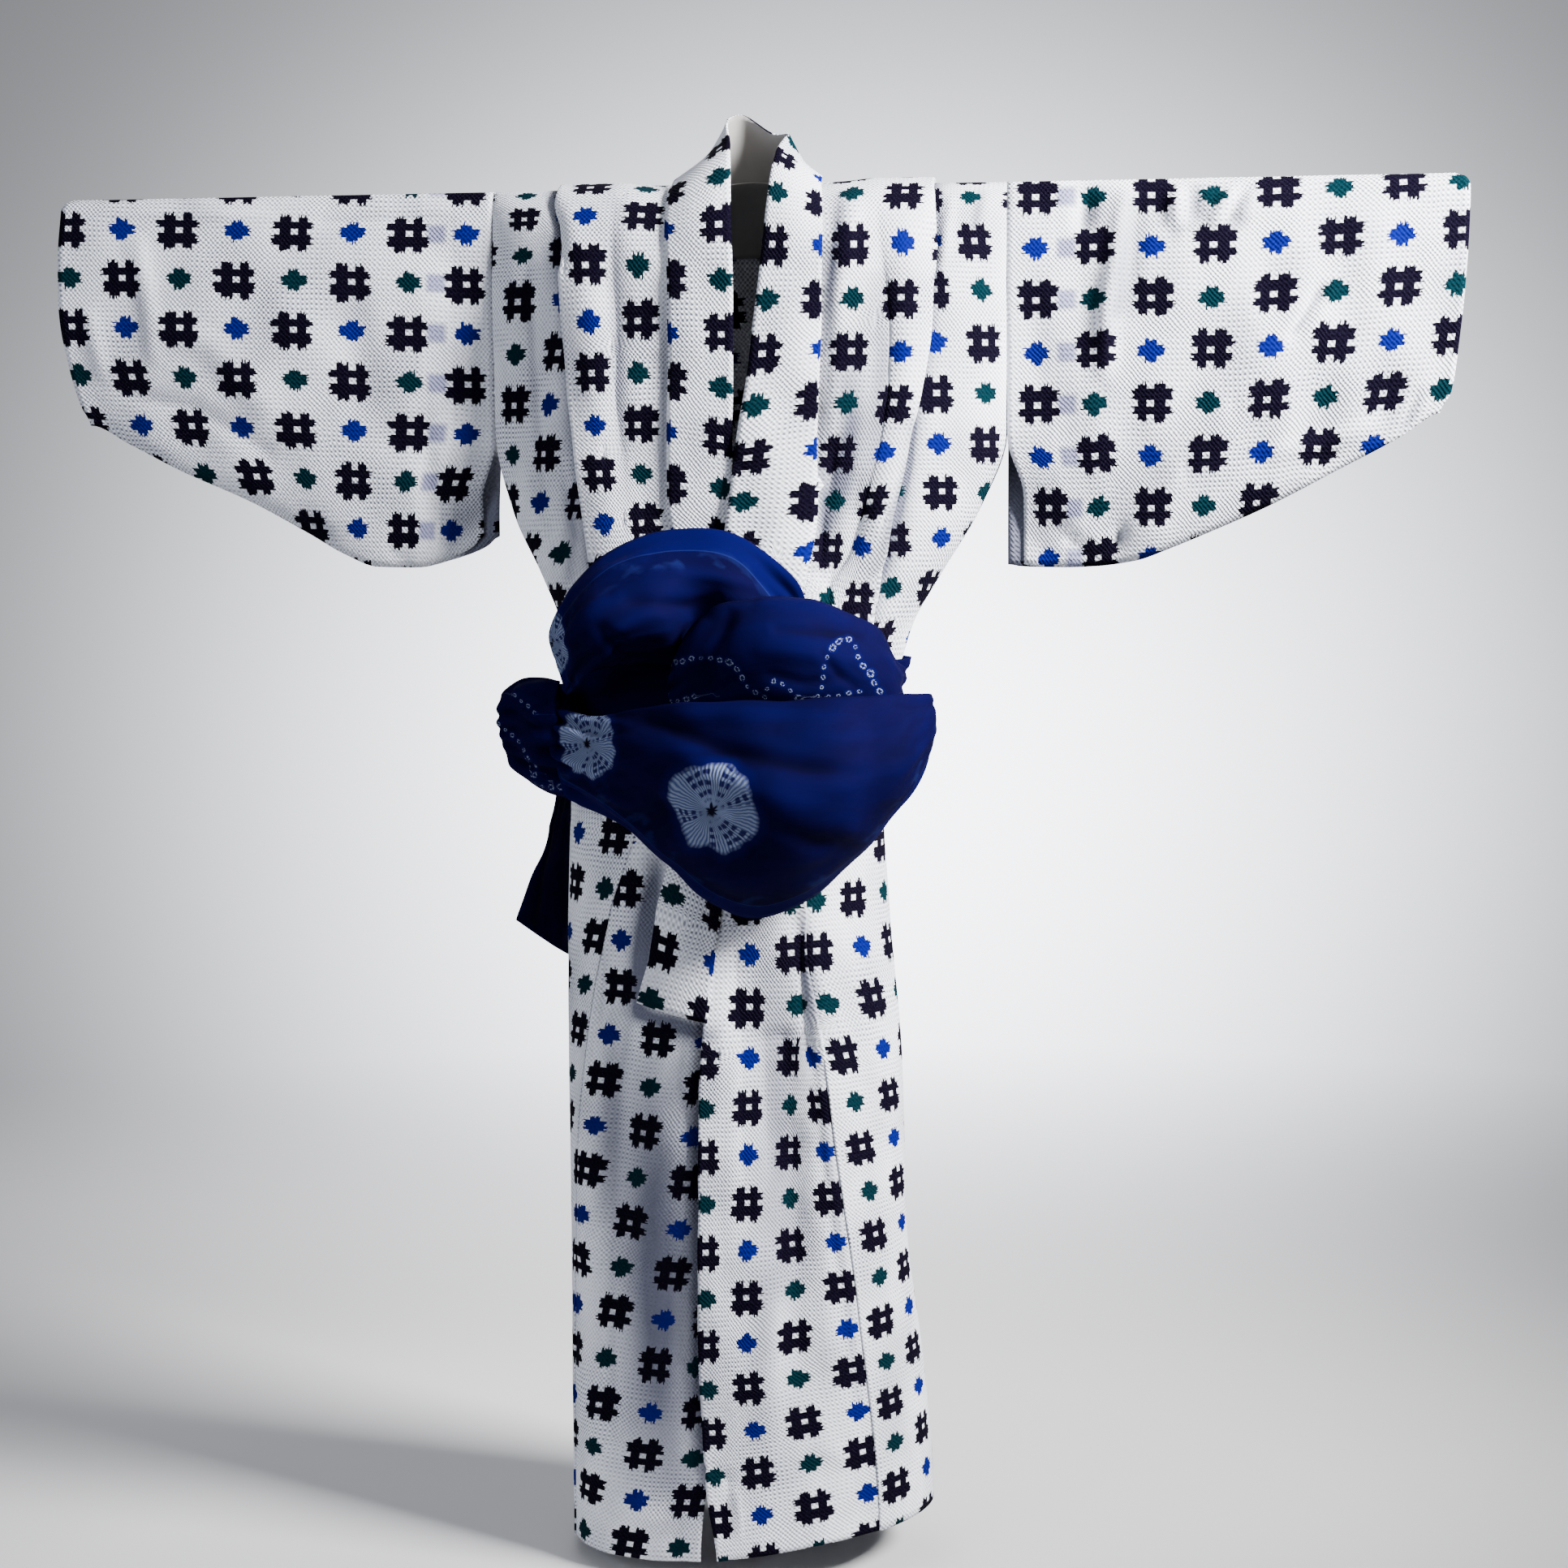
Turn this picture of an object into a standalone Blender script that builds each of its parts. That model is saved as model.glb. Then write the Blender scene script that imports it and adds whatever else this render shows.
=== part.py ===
"""Cotton yukata with its soft obi, filled out as when it is worn.

Metres, +Z up. The origin is the middle of the shoulder line, the front faces -Y and the wearer's left is +X.
Each piece of cloth is a thin wall on one hollow form: a stack of level rings, given by SECTIONS, whose front
and back close over the shoulders. A place on the form is an angle round the ring, measured from its middle,
and a length of cloth down from the shoulder line, negative down the front and positive down the back.
"""

import math
from collections import namedtuple

import bmesh
import bpy
from mathutils import Vector

# ---- driving sizes -------------------------------------------------------------------------------
NAME = "cotton_yukata"
WALL = 0.0015  # one thickness of the cotton, with its crinkle
BAND_WALL = 0.0022  # the collar is folded double
OBI_WALL = 0.0012
SEAM_GAP = 0.0008  # between two pieces sewn edge to edge
LAYER = 0.0028  # from the middle of one layer to the middle of the next one lying on it
SHOULDER_ROUND = 0.090  # how far below the shoulder line the front and back reach their full depth
ARMHOLE = 0.229  # length of the seam between sleeve and body
SLEEVE_START = 0.2410  # distance of that seam from the middle
HEM = -1.283  # the hem at the wearer's right
HEM_RISE = 0.040  # how much higher it hangs at the wearer's left
TUCK_HIDES = 0.042  # depth of the shoulder tuck
NECK_RISE = 0.016  # the back of the neck stands above the shoulder line by about this much
NECK_WIDE = 0.055  # and over about this far to each side

# The rings: right and left are the ends of a ring along X, front and back its depths, and open is half of
# the gap between front and back at its ends. A power of 1 is an ellipse, above 1 a lens.
Section = namedtuple("Section", "z right left front back open power")
SECTIONS = [
    Section(0.000, -0.2400, 0.2400, 0.086, 0.080, 0.017, 1.5),
    Section(-0.120, -0.2400, 0.2400, 0.092, 0.084, 0.019, 1.5),
    Section(-0.229, -0.2390, 0.2395, 0.097, 0.086, 0.016, 1.4),
    Section(-0.300, -0.2240, 0.2140, 0.099, 0.086, 0.010, 1.2),
    Section(-0.360, -0.1980, 0.1780, 0.100, 0.086, 0.004, 1.05),
    Section(-0.410, -0.1800, 0.1500, 0.100, 0.086, 0.000, 1.0),
    Section(-0.490, -0.1700, 0.1300, 0.100, 0.086, 0.000, 1.0),
    Section(-0.560, -0.1730, 0.1220, 0.104, 0.090, 0.000, 1.0),
    Section(-0.680, -0.1780, 0.1280, 0.114, 0.104, 0.000, 1.0),
    Section(-0.820, -0.1800, 0.1390, 0.120, 0.114, 0.000, 1.0),
    Section(-1.000, -0.1800, 0.1430, 0.125, 0.124, 0.000, 1.0),
    Section(-1.140, -0.1800, 0.1580, 0.130, 0.130, 0.000, 1.0),
    Section(-1.290, -0.1790, 0.1680, 0.134, 0.134, 0.000, 1.0),
]

# Long soft folds pressed into the form. x is where the fold runs at its top and bottom, wide is its half
# width, and deep is how far it stands out, or in if negative.
Fold = namedtuple("Fold", "side x_top z_top x_bottom z_bottom wide deep")
FRONT, BACK = -1, 1
FOLDS = [
    Fold(FRONT, 0.032, -0.690, 0.052, -1.200, 0.020, -0.011),
    Fold(FRONT, -0.122, -0.620, -0.105, -1.150, 0.020, -0.006),
    Fold(BACK, -0.125, -0.600, -0.135, -1.500, 0.024, 0.010),
    Fold(BACK, -0.072, -0.580, -0.080, -1.500, 0.024, -0.015),
    Fold(BACK, -0.020, -0.600, -0.022, -1.500, 0.028, 0.010),
    Fold(BACK, 0.040, -0.580, 0.046, -1.500, 0.024, -0.014),
    Fold(BACK, 0.090, -0.600, 0.100, -1.500, 0.024, 0.010),
]

# Seams of the front, as X at a height. Where a seam passes the end of the ring its place is an angle.
Seam = namedtuple("Seam", "z x")
FRONT_EDGE_LEFT = [  # inner edge of body_left: under the collar, then the okumi seam
    Seam(0.000, 0.062), Seam(-0.100, 0.067), Seam(-0.280, 0.064), Seam(-0.400, 0.056), Seam(-0.560, 0.050),
    Seam(-0.667, 0.054), Seam(-0.813, 0.075), Seam(-0.907, 0.091), Seam(-1.052, 0.111), Seam(-1.290, 0.133),
]
FRONT_EDGE_RIGHT = [  # inner edge of body_right
    Seam(0.000, -0.062), Seam(-0.100, -0.055), Seam(-0.280, -0.058), Seam(-0.400, -0.070), Seam(-0.591, -0.100),
    Seam(-0.686, -0.132), Seam(-0.800, -0.154), Seam(-0.908, -0.166), Seam(-1.100, -0.1725), Seam(-1.290, -0.1745),
]
OVER_EDGE = [  # front edge of okumi_left: under the collar, then free
    Seam(-0.300, 0.050), Seam(-0.400, 0.038), Seam(-0.500, 0.018), Seam(-0.600, -0.004), Seam(-0.690, -0.022),
    Seam(-0.752, -0.0325), Seam(-0.900, -0.040), Seam(-1.050, -0.040), Seam(-1.200, -0.035), Seam(-1.290, -0.024),
]
UNDER_EDGE = [  # front edge of okumi_right
    Seam(-0.300, -0.046), Seam(-0.400, -0.030), Seam(-0.500, -0.014), Seam(-0.600, -0.004), Seam(-0.752, 0.004),
    Seam(-0.900, -0.008), Seam(-1.050, -0.018), Seam(-1.180, -0.030), Seam(-1.290, -0.040),
]
SIDE_LEFT = [  # angle of the side seam round the ring, in degrees from the front middle
    Seam(0.000, 90.0), Seam(-0.420, 90.0), Seam(-0.600, 104.0), Seam(-0.900, 112.0), Seam(-1.290, 116.0),
]
SIDE_RIGHT = [
    Seam(0.000, 90.0), Seam(-0.420, 90.0), Seam(-0.600, 108.0), Seam(-0.900, 122.0), Seam(-1.290, 130.0),
]
# The tuck's outer fold on each side, and how deep the tuck is there.
Tuck = namedtuple("Tuck", "z left right hides")
TUCKS = [
    Tuck(0.000, 0.172, -0.174, TUCK_HIDES), Tuck(-0.060, 0.171, -0.166, TUCK_HIDES),
    Tuck(-0.130, 0.167, -0.160, TUCK_HIDES), Tuck(-0.222, 0.154, -0.153, 0.040),
    Tuck(-0.290, 0.138, -0.144, 0.036), Tuck(-0.350, 0.125, -0.136, 0.030),
    Tuck(-0.450, 0.105, -0.124, 0.018), Tuck(-0.560, 0.096, -0.128, 0.006), Tuck(-0.600, 0.094, -0.134, 0.0),
]
TUCK_ENDS = -0.590
FULL_TUCK = 0.012  # a tuck that hides less than this lies flatter
NARROWEST = 0.12  # least angle between a strip's inner edge and its tuck
# The cut of the neck on a back strip: its inner edge from the middle seam, at a fall below the shoulder line.
NECKLINE = [Seam(0.000, 0.062), Seam(0.004, 0.054), Seam(0.009, 0.036), Seam(0.0115, 0.0)]
# Rows over the shoulder, as falls below its line: they match the rows of the collar that lies on them.
FRONT_FALLS = (0.090, 0.050, 0.018, 0.004, 0.0)
BACK_FALLS = (0.004, 0.009, 0.0115, 0.016, 0.038, 0.062, 0.090)
PATCH_FALLS = (0.016, 0.038, 0.062)
PATCH_ACROSS = (-0.060, -0.030, 0.0, 0.030, 0.060)
PATCH_IN = 0.0020  # the patch lies this far inside the strips, from middle to middle

# How far a front layer stands out on the layers below it, in layers, at its inner edge.
Stack = namedtuple("Stack", "z layers")
OVER_STACK = [Stack(-0.200, 0.0), Stack(-0.300, 2.3), Stack(-0.780, 2.5), Stack(-0.860, 1.15), Stack(-1.300, 1.15)]
STACK_FADES = 0.050  # and how far from that edge it lies on the form again

FRONT_LEVELS = [
    -0.135, -0.180, -ARMHOLE, -0.262, -0.300, -0.350, -0.400, -0.450, -0.500, -0.560, -0.620, -0.690, -0.752,
    -0.820, -0.900, -0.975, -1.050, -1.125, -1.200, HEM,
]
BACK_LEVELS = [
    -0.160, -ARMHOLE, -0.290, -0.350, -0.410, -0.480, -0.560, -0.620, -0.700, -0.800, -0.920, -1.050, -1.170, HEM,
]
FRONT_SHARES = [0.0, 0.34, 0.68]  # columns between a strip's inner edge and its tuck, as shares of the way
SIDE_SHARES = [0.2, 0.4, 0.6, 0.8, 1.0]  # and between the tuck and the side seam


# ---- tables and curves ---------------------------------------------------------------------------
def smooth(keys, values, key):
    """A smooth curve through the values, which never swings past them. The keys rise or fall."""
    if keys[0] > keys[-1]:
        keys, values = keys[::-1], values[::-1]
    if key <= keys[0]:
        return values[0]
    if key >= keys[-1]:
        return values[-1]
    slopes = [(values[i + 1] - values[i]) / (keys[i + 1] - keys[i]) for i in range(len(keys) - 1)]
    i = max(n for n in range(len(slopes)) if keys[n] <= key)

    def tangent(n):
        if n in (0, len(slopes)) or slopes[n - 1] * slopes[n] <= 0:
            return 0.0
        return 2 * slopes[n - 1] * slopes[n] / (slopes[n - 1] + slopes[n])

    span = keys[i + 1] - keys[i]
    t = (key - keys[i]) / span
    rise = values[i + 1] - values[i]
    start, end = tangent(i) * span, tangent(i + 1) * span
    return values[i] + t * start + t * t * (3 * rise - 2 * start - end) + t**3 * (start + end - 2 * rise)


def read(table, column, key):
    """One column of a table at a key, which is the table's first column."""
    return smooth([row[0] for row in table], [getattr(row, column) for row in table], key)


def ease(value, start, end):
    """0 before start, 1 after end, and a soft step between."""
    t = min(1.0, max(0.0, (value - start) / (end - start)))
    return t * t * (3 - 2 * t)


def mix(a, b, share):
    return a + (b - a) * share


# ---- the hollow form -----------------------------------------------------------------------------
TURN = SHOULDER_ROUND * math.pi / 2  # cloth from the shoulder line to where the form is at full depth


def level(length):
    """Height and share of the full depth at a length of cloth from the shoulder line."""
    if abs(length) >= TURN:
        return -SHOULDER_ROUND - (abs(length) - TURN), 1.0
    turn = abs(length) / SHOULDER_ROUND
    return -SHOULDER_ROUND * (1 - math.cos(turn)), math.sin(turn)


def length_at(z, side):
    """Length of cloth from the shoulder line, down the front or the back, to a height."""
    if z < -SHOULDER_ROUND:
        return side * (TURN - SHOULDER_ROUND - z)
    return side * SHOULDER_ROUND * math.acos(1 + z / SHOULDER_ROUND)


def relief(x, z, side):
    """How far the long folds move the form outward at a place."""
    out = 0.0
    for fold in FOLDS:
        if fold.side != side:
            continue
        way = (z - fold.z_top) / (fold.z_bottom - fold.z_top)
        if 0 < way < 1:
            off = (x - mix(fold.x_top, fold.x_bottom, way)) / fold.wide
            fade = ease(way, 0, 0.2) * (1 - ease(way, 0.65, 1.0) if side == FRONT else 1.0)
            out += fold.deep * fade * math.exp(-off * off)
    return out


def ring_place(angle, length):
    """The bare form: angle from the middle of the side that the length is on."""
    z, share = level(length)
    side = FRONT if length < 0 else BACK
    left, right = read(SECTIONS, "left", z), read(SECTIONS, "right", z)
    middle, half = (left + right) / 2, (left - right) / 2
    x = middle + half * math.sin(angle)
    facing = side if math.cos(angle) >= 0 else -side
    depth = read(SECTIONS, "front" if facing == FRONT else "back", z)
    opening = read(SECTIONS, "open", z)
    power = read(SECTIONS, "power", z)
    y = opening + (depth - opening) * abs(math.cos(angle)) ** power
    y = facing * y * share
    if side == BACK:
        z += NECK_RISE * math.exp(-((x / NECK_WIDE) ** 2)) * ease(-length, -0.16, -0.02)
    y += facing * relief(x, z, facing)
    z += HEM_RISE * ease(x, -0.22, 0.24) * ease(-z, 0.80, 1.28)
    return Vector((x, y, z))


def on_form(angle, length, lift=0.0):
    """A place on the form, moved out along its normal."""
    place = ring_place(angle, length)
    if not lift:
        return place
    step = 1e-4
    across = ring_place(angle + step, length) - ring_place(angle - step, length)
    side = FRONT if length < 0 else BACK
    down = ring_place(angle, length + side * 2 * step) - ring_place(angle, length + side * step)
    normal = across.cross(down).normalized() * (1 if side == FRONT else -1)
    return place - normal * lift


def angle_of(x, length):
    """Angle on the ring at which X is reached."""
    z = level(length)[0]
    left, right = read(SECTIONS, "left", z), read(SECTIONS, "right", z)
    return math.asin(max(-1.0, min(1.0, (x - (left + right) / 2) / ((left - right) / 2))))


def seam_angle(seam, length):
    return angle_of(read(seam, "x", level(length)[0]), length)


def gap_angle(angle, length):
    """Half of a seam's gap, as an angle on the ring at a place."""
    step = 1e-3
    travel = (ring_place(angle + step, length) - ring_place(angle - step, length)).length / (2 * step)
    return SEAM_GAP / 2 / max(travel, 0.05)


# ---- making a piece of cloth ---------------------------------------------------------------------
def cloth(name, rows, wall, material, closed=False):
    """A sheet through rows of places, given its thickness by Solidify. Places that coincide are joined."""
    mesh = bpy.data.meshes.new(name)
    build = bmesh.new()
    grid = [[build.verts.new(place) for place in row] for row in rows]
    for upper, lower in zip(grid, grid[1:]):
        pairs = list(zip(upper, upper[1:], lower[1:], lower))
        if closed:
            pairs.append((upper[-1], upper[0], lower[0], lower[-1]))
        for corners in pairs:
            build.faces.new(corners)
    bmesh.ops.remove_doubles(build, verts=build.verts, dist=1e-5)
    build.to_mesh(mesh)
    build.free()
    mesh.materials.append(material)
    mesh.shade_smooth()
    piece = bpy.data.objects.new(name, mesh)
    bpy.data.collections[NAME].objects.link(piece)
    solid = piece.modifiers.new("Wall", "SOLIDIFY")
    solid.thickness = wall
    solid.offset = 0.0
    solid.use_even_offset = True
    return piece


def material(name, colour, roughness):
    made = bpy.data.materials.new(name)
    made.use_nodes = True
    shader = made.node_tree.nodes["Principled BSDF"]
    shader.inputs["Base Color"].default_value = (*colour, 1.0)
    shader.inputs["Roughness"].default_value = roughness
    shader.inputs["Metallic"].default_value = 0.0
    return made


# ---- the body strips, okumi and neck patch -------------------------------------------------------
def strip_lengths():
    """Rows of a body strip: up the front, over the shoulder and down the back."""
    front = [length_at(z, FRONT) for z in reversed(FRONT_LEVELS)]
    over = [length_at(-fall, FRONT) for fall in FRONT_FALLS] + [length_at(-fall, BACK) for fall in BACK_FALLS]
    back = [length_at(z, BACK) for z in BACK_LEVELS]
    return front + over + back


def stack_lift(length, from_edge):
    """Lift of the over front near its inner edge, which lies on the under front and its collar."""
    z = level(length)[0]
    return LAYER * read(OVER_STACK, "layers", z) * (1 - ease(from_edge, 0.0, STACK_FADES))


def strip_edges(side, length):
    """Angles of a body strip's inner edge and of its side seam, each half a seam's gap in."""
    z = level(length)[0]
    side_angle = math.radians(read(SIDE_LEFT if side > 0 else SIDE_RIGHT, "x", z))
    if length < 0:
        inner = side * seam_angle(FRONT_EDGE_LEFT if side > 0 else FRONT_EDGE_RIGHT, length)
        outer = side_angle
    else:  # the middle seam of the back keeps half way between X = 0 and the middle of the ring
        seam_x = (read(SECTIONS, "left", z) + read(SECTIONS, "right", z)) / 4
        inner = side * angle_of(seam_x + side * read(NECKLINE, "x", -z), length)
        outer = math.pi - side_angle
    return inner + gap_angle(side * inner, length), outer - gap_angle(side * outer, length)


def strip_row(side, length):
    """One row of a body strip from its inner edge, through the tuck's two folds, to the side seam."""
    z = level(length)[0]
    inner, outer = strip_edges(side, length)
    hides = read(TUCKS, "hides", z)
    fold_x = read(TUCKS, "left" if side > 0 else "right", z)
    fold = max(side * angle_of(fold_x, length), inner + NARROWEST)
    back_fold = side * angle_of(fold_x - side * hides, length)
    if z < TUCK_ENDS:
        fold = back_fold = mix(inner, outer, 0.36)
    folded = min(1.0, hides / FULL_TUCK)
    places = [(mix(inner, fold, share), 2.0 * folded * ease(share, 0.0, 0.5)) for share in FRONT_SHARES]
    places += [(fold, 2.0 * folded), (fold, 1.0 * folded), (back_fold, 1.0 * folded), (back_fold, 0.0)]
    places += [(mix(back_fold, outer, share), 0.0) for share in SIDE_SHARES]
    row = []
    for angle, layers in places:
        lift = layers * LAYER
        if length < 0 and side > 0:
            from_edge = on_form(angle, length).x - read(FRONT_EDGE_LEFT, "x", z)
            lift = max(lift, stack_lift(length, abs(from_edge)))
        row.append(on_form(side * angle, length, lift))
    return row


def body_strip(name, side, cotton):
    return cloth(name, [strip_row(side, length) for length in strip_lengths()], WALL, cotton)


def okumi(name, side, cotton):
    """The front panel between a body strip and its free edge, narrowing to a point under the collar."""
    seam, edge = (FRONT_EDGE_LEFT, OVER_EDGE) if side > 0 else (FRONT_EDGE_RIGHT, UNDER_EDGE)
    rows = []
    for z in FRONT_LEVELS:
        if z > -0.29:
            continue
        length = length_at(z, FRONT)
        start = seam_angle(seam, length)
        start -= side * gap_angle(start, length)
        end = seam_angle(edge, length)
        row = []
        for share in (0.0, 0.17, 0.33, 0.5, 0.67, 0.83, 1.0):
            angle = mix(start, end, share)
            x = on_form(angle, length).x
            lift = 0.0
            if side > 0:
                lift = LAYER * read(OVER_STACK, "layers", z)
                if z < -0.78:
                    lift *= 1 - ease(x, -0.010, 0.060)
                    lift = max(lift, stack_lift(length, abs(x - read(seam, "x", z))) * ease(z, -0.86, -0.78))
            row.append(on_form(angle, length, lift))
        rows.append(row)
    return cloth(name, rows, WALL, cotton)


def neck_patch(cotton):
    """A plain patch inside the back of the neck, a layer in from the body strips."""
    rows = []
    for fall in PATCH_FALLS:
        length = length_at(-fall, BACK)
        rows.append([on_form(angle_of(x, length), length, -PATCH_IN) for x in PATCH_ACROSS])
    return cloth("neck_patch", rows, WALL, cotton)


# ---- the collar ----------------------------------------------------------------------------------
# A row for each place along the band. Its seam edge lies on the form at x, at a fall below the shoulder line,
# negative down the front and positive down the back, lifted by so many layers. Its free edge does too where
# free_y is None, and otherwise stands clear at its own place.
Band = namedtuple("Band", "seam_x seam_fall layers free_x free_y free_z")
COLLAR_LEFT = [  # from its end on the over front to the shoulder
    Band(-0.031, -0.768, 3.9, -0.091, None, -0.752),
    Band(-0.025, -0.715, 3.9, -0.079, None, -0.700),
    Band(-0.017, -0.664, 3.9, -0.065, None, -0.640),
    Band(0.012, -0.560, 3.8, -0.047, None, -0.545),
    Band(0.035, -0.460, 3.8, -0.028, None, -0.450),
    Band(0.056, -0.370, 3.8, -0.017, None, -0.360),
    Band(0.068, -0.300, 3.65, -0.010, None, -0.300),
    Band(0.072, -0.230, 2.6, -0.001, None, -0.240),
    Band(0.075, -0.160, 1.6, 0.010, None, -0.165),
    Band(0.076, -0.090, 1.4, 0.019, None, -0.090),
    Band(0.076, -0.050, 1.5, 0.024, -0.088, -0.045),
    Band(0.073, -0.018, 1.6, 0.027, -0.064, 0.002),
    Band(0.070, -0.004, 1.7, 0.030, -0.046, 0.024),
    Band(0.069, 0.000, 1.8, 0.032, -0.032, 0.034),
    Band(0.064, 0.004, 1.9, 0.036, -0.014, 0.044),
    Band(0.057, 0.009, 2.0, 0.037, 0.000, 0.049),
    Band(0.034, 0.0135, 2.0, 0.020, 0.018, 0.052),
]
COLLAR_BACK = Band(0.000, 0.016, 2.0, -0.006, 0.028, 0.070)
COLLAR_RIGHT = [  # from the shoulder to its end under the over front
    Band(-0.034, 0.0135, 2.0, -0.019, 0.022, 0.068),
    Band(-0.057, 0.009, 2.0, -0.020, 0.004, 0.060),
    Band(-0.063, 0.004, 1.9, -0.018, -0.010, 0.052),
    Band(-0.067, 0.000, 1.8, -0.014, -0.028, 0.040),
    Band(-0.068, -0.004, 1.7, -0.012, -0.042, 0.028),
    Band(-0.069, -0.018, 1.6, -0.009, -0.064, 0.002),
    Band(-0.068, -0.050, 1.5, -0.006, -0.088, -0.045),
    Band(-0.064, -0.090, 1.4, -0.004, None, -0.090),
    Band(-0.063, -0.160, 1.3, -0.004, None, -0.165),
    Band(-0.065, -0.230, 1.2, -0.005, None, -0.240),
    Band(-0.065, -0.300, 1.15, -0.004, None, -0.300),
    Band(-0.052, -0.370, 1.15, 0.008, None, -0.360),
    Band(-0.036, -0.460, 1.15, 0.024, None, -0.450),
    Band(-0.022, -0.560, 1.15, 0.036, None, -0.545),
    Band(-0.014, -0.664, 1.15, 0.040, None, -0.650),
    Band(-0.010, -0.740, 1.15, 0.042, None, -0.728),
]


def collar_row(band):
    """One row across the band, from its seam edge to its free edge."""
    seam_length = length_at(-abs(band.seam_fall), BACK if band.seam_fall > 0 else FRONT)
    lift = band.layers * LAYER
    seam = on_form(angle_of(band.seam_x, seam_length), seam_length, lift)
    row = [seam]
    for share in (0.25, 0.5, 0.75, 1.0):
        x, z = mix(band.seam_x, band.free_x, share), mix(seam.z, band.free_z, share)
        if band.free_y is None:
            length = length_at(mix(band.seam_fall, band.free_z, share), FRONT)
            row.append(on_form(angle_of(x, length), length, lift))
        else:
            bow = 0.006 * math.sin(math.pi * share) * (-1 if band.seam_fall < 0 else 0)
            row.append(Vector((x, mix(seam.y, band.free_y, share) + bow, z)))
    return row


def collar(cotton):
    """The doubled band, from one front's end round the back of the neck to the other's."""
    rows = [collar_row(band) for band in COLLAR_LEFT + [COLLAR_BACK] + COLLAR_RIGHT]
    return cloth("collar", rows, BAND_WALL, cotton)


# ---- the sleeves ---------------------------------------------------------------------------------
# The bottom of a sleeve's outline: distance from the middle of the garment, and how deep it hangs.
Drop = namedtuple("Drop", "x right left")
DROPS = [
    Drop(0.241, 0.322, 0.352), Drop(0.254, 0.332, 0.354), Drop(0.287, 0.344, 0.355), Drop(0.320, 0.351, 0.354),
    Drop(0.358, 0.350, 0.349), Drop(0.390, 0.338, 0.338), Drop(0.425, 0.318, 0.324), Drop(0.480, 0.288, 0.300),
    Drop(0.550, 0.257, 0.264), Drop(0.600, 0.231, 0.238), Drop(0.638, 0.213, 0.216),
]
# The wrist end of a sleeve: its distance from the middle, by the share of its depth below the top fold.
Wrist = namedtuple("Wrist", "share right left")
WRISTS = [
    Wrist(0.00, 0.657, 0.660), Wrist(0.05, 0.661, 0.661), Wrist(0.44, 0.663, 0.657), Wrist(0.73, 0.655, 0.651),
    Wrist(0.91, 0.646, 0.646), Wrist(1.00, 0.638, 0.636),
]
# Half of a sleeve's thickness at its fullest, by distance from the middle.
Fullness = namedtuple("Fullness", "x half")
FULLNESS = [
    Fullness(0.24, 0.019), Fullness(0.30, 0.024), Fullness(0.42, 0.026), Fullness(0.56, 0.020),
    Fullness(0.66, 0.013),
]
ROUND_STEPS = (0.0, 0.05, 0.14, 0.28, 0.45, 0.62, 0.80, 0.92, 1.0)  # shares of the way from the top fold down
COLUMN_STEPS = (0.0, 0.03, 0.11, 0.20, 0.29, 0.38, 0.47, 0.60, 0.76, 0.90, 1.0)  # and from armhole to wrist


def armhole_half(z):
    """Half of the gap between front and back at the armhole."""
    share = 1.0 if z < -SHOULDER_ROUND else math.sqrt(1 - (1 + z / SHOULDER_ROUND) ** 2)
    return read(SECTIONS, "open", z) * share


def sleeve_half(x, z, drop):
    """Half of the sleeve's thickness: the armhole's at the body, then full in the middle of its depth."""
    free = read(FULLNESS, "half", x) * math.sin(math.pi * min(1.0, -z / drop)) ** 0.65
    at_body = armhole_half(z) * (1 - ease(-z, ARMHOLE, drop))
    closed = WALL / 2 + SEAM_GAP / 2
    held = ease(x, 0.24, 0.33)
    if z > -1e-6:
        return 0.0
    return max(closed, mix(at_body, free, held))


def sleeve(name, side, cotton):
    """A tube folded along its top. Every column runs down from that fold and back up behind."""
    column = "left" if side > 0 else "right"
    rows = []
    for along in COLUMN_STEPS:
        outline = read(WRISTS, column, 1.0)
        drop = read(DROPS, column, mix(SLEEVE_START, outline, along))
        ends = [(share, read(WRISTS, column, share)) for share in ROUND_STEPS]
        down = [(mix(SLEEVE_START, end, along), -drop * share) for share, end in ends]
        front = [Vector((side * x, -sleeve_half(x, z, drop), z)) for x, z in reversed(down)]
        back = [Vector((side * x, sleeve_half(x, z, drop), z)) for x, z in down[1:]]
        rows.append(front + back)
    return cloth(name, rows, WALL, cotton)


# ---- the obi -------------------------------------------------------------------------------------
OBI_TOP, OBI_BOTTOM = -0.436, -0.562  # the part wound round the waist
SIDE_LIFT, FRONT_LIFT = 0.0085, 0.0150  # how far it stands out from the form there
REST = OBI_WALL + 0.0006  # from the middle of that part to the middle of a piece lying on it
KNOT = (-0.1712, -0.0769, -0.496)
Loop = namedtuple("Loop", "x_top y_top z_top x_mid y_mid z_mid x_low y_low z_low")


def on_band(turn, z, out=0.0):
    """A place on the wound part, at a turn round the waist from the front middle, moved out from it."""
    side = FRONT if math.cos(turn) >= 0 else BACK
    angle = turn if side == FRONT else math.pi - turn
    lift = mix(SIDE_LIFT, FRONT_LIFT, max(0.0, math.cos(turn)))
    return on_form(angle, length_at(z, side), lift + out)


def resting(*places):
    """A loop's section whose top, middle and low places lie on the wound part, at turns in degrees."""
    return Loop(*(value for turn, z in places for value in on_band(math.radians(turn), z, REST)))


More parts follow.
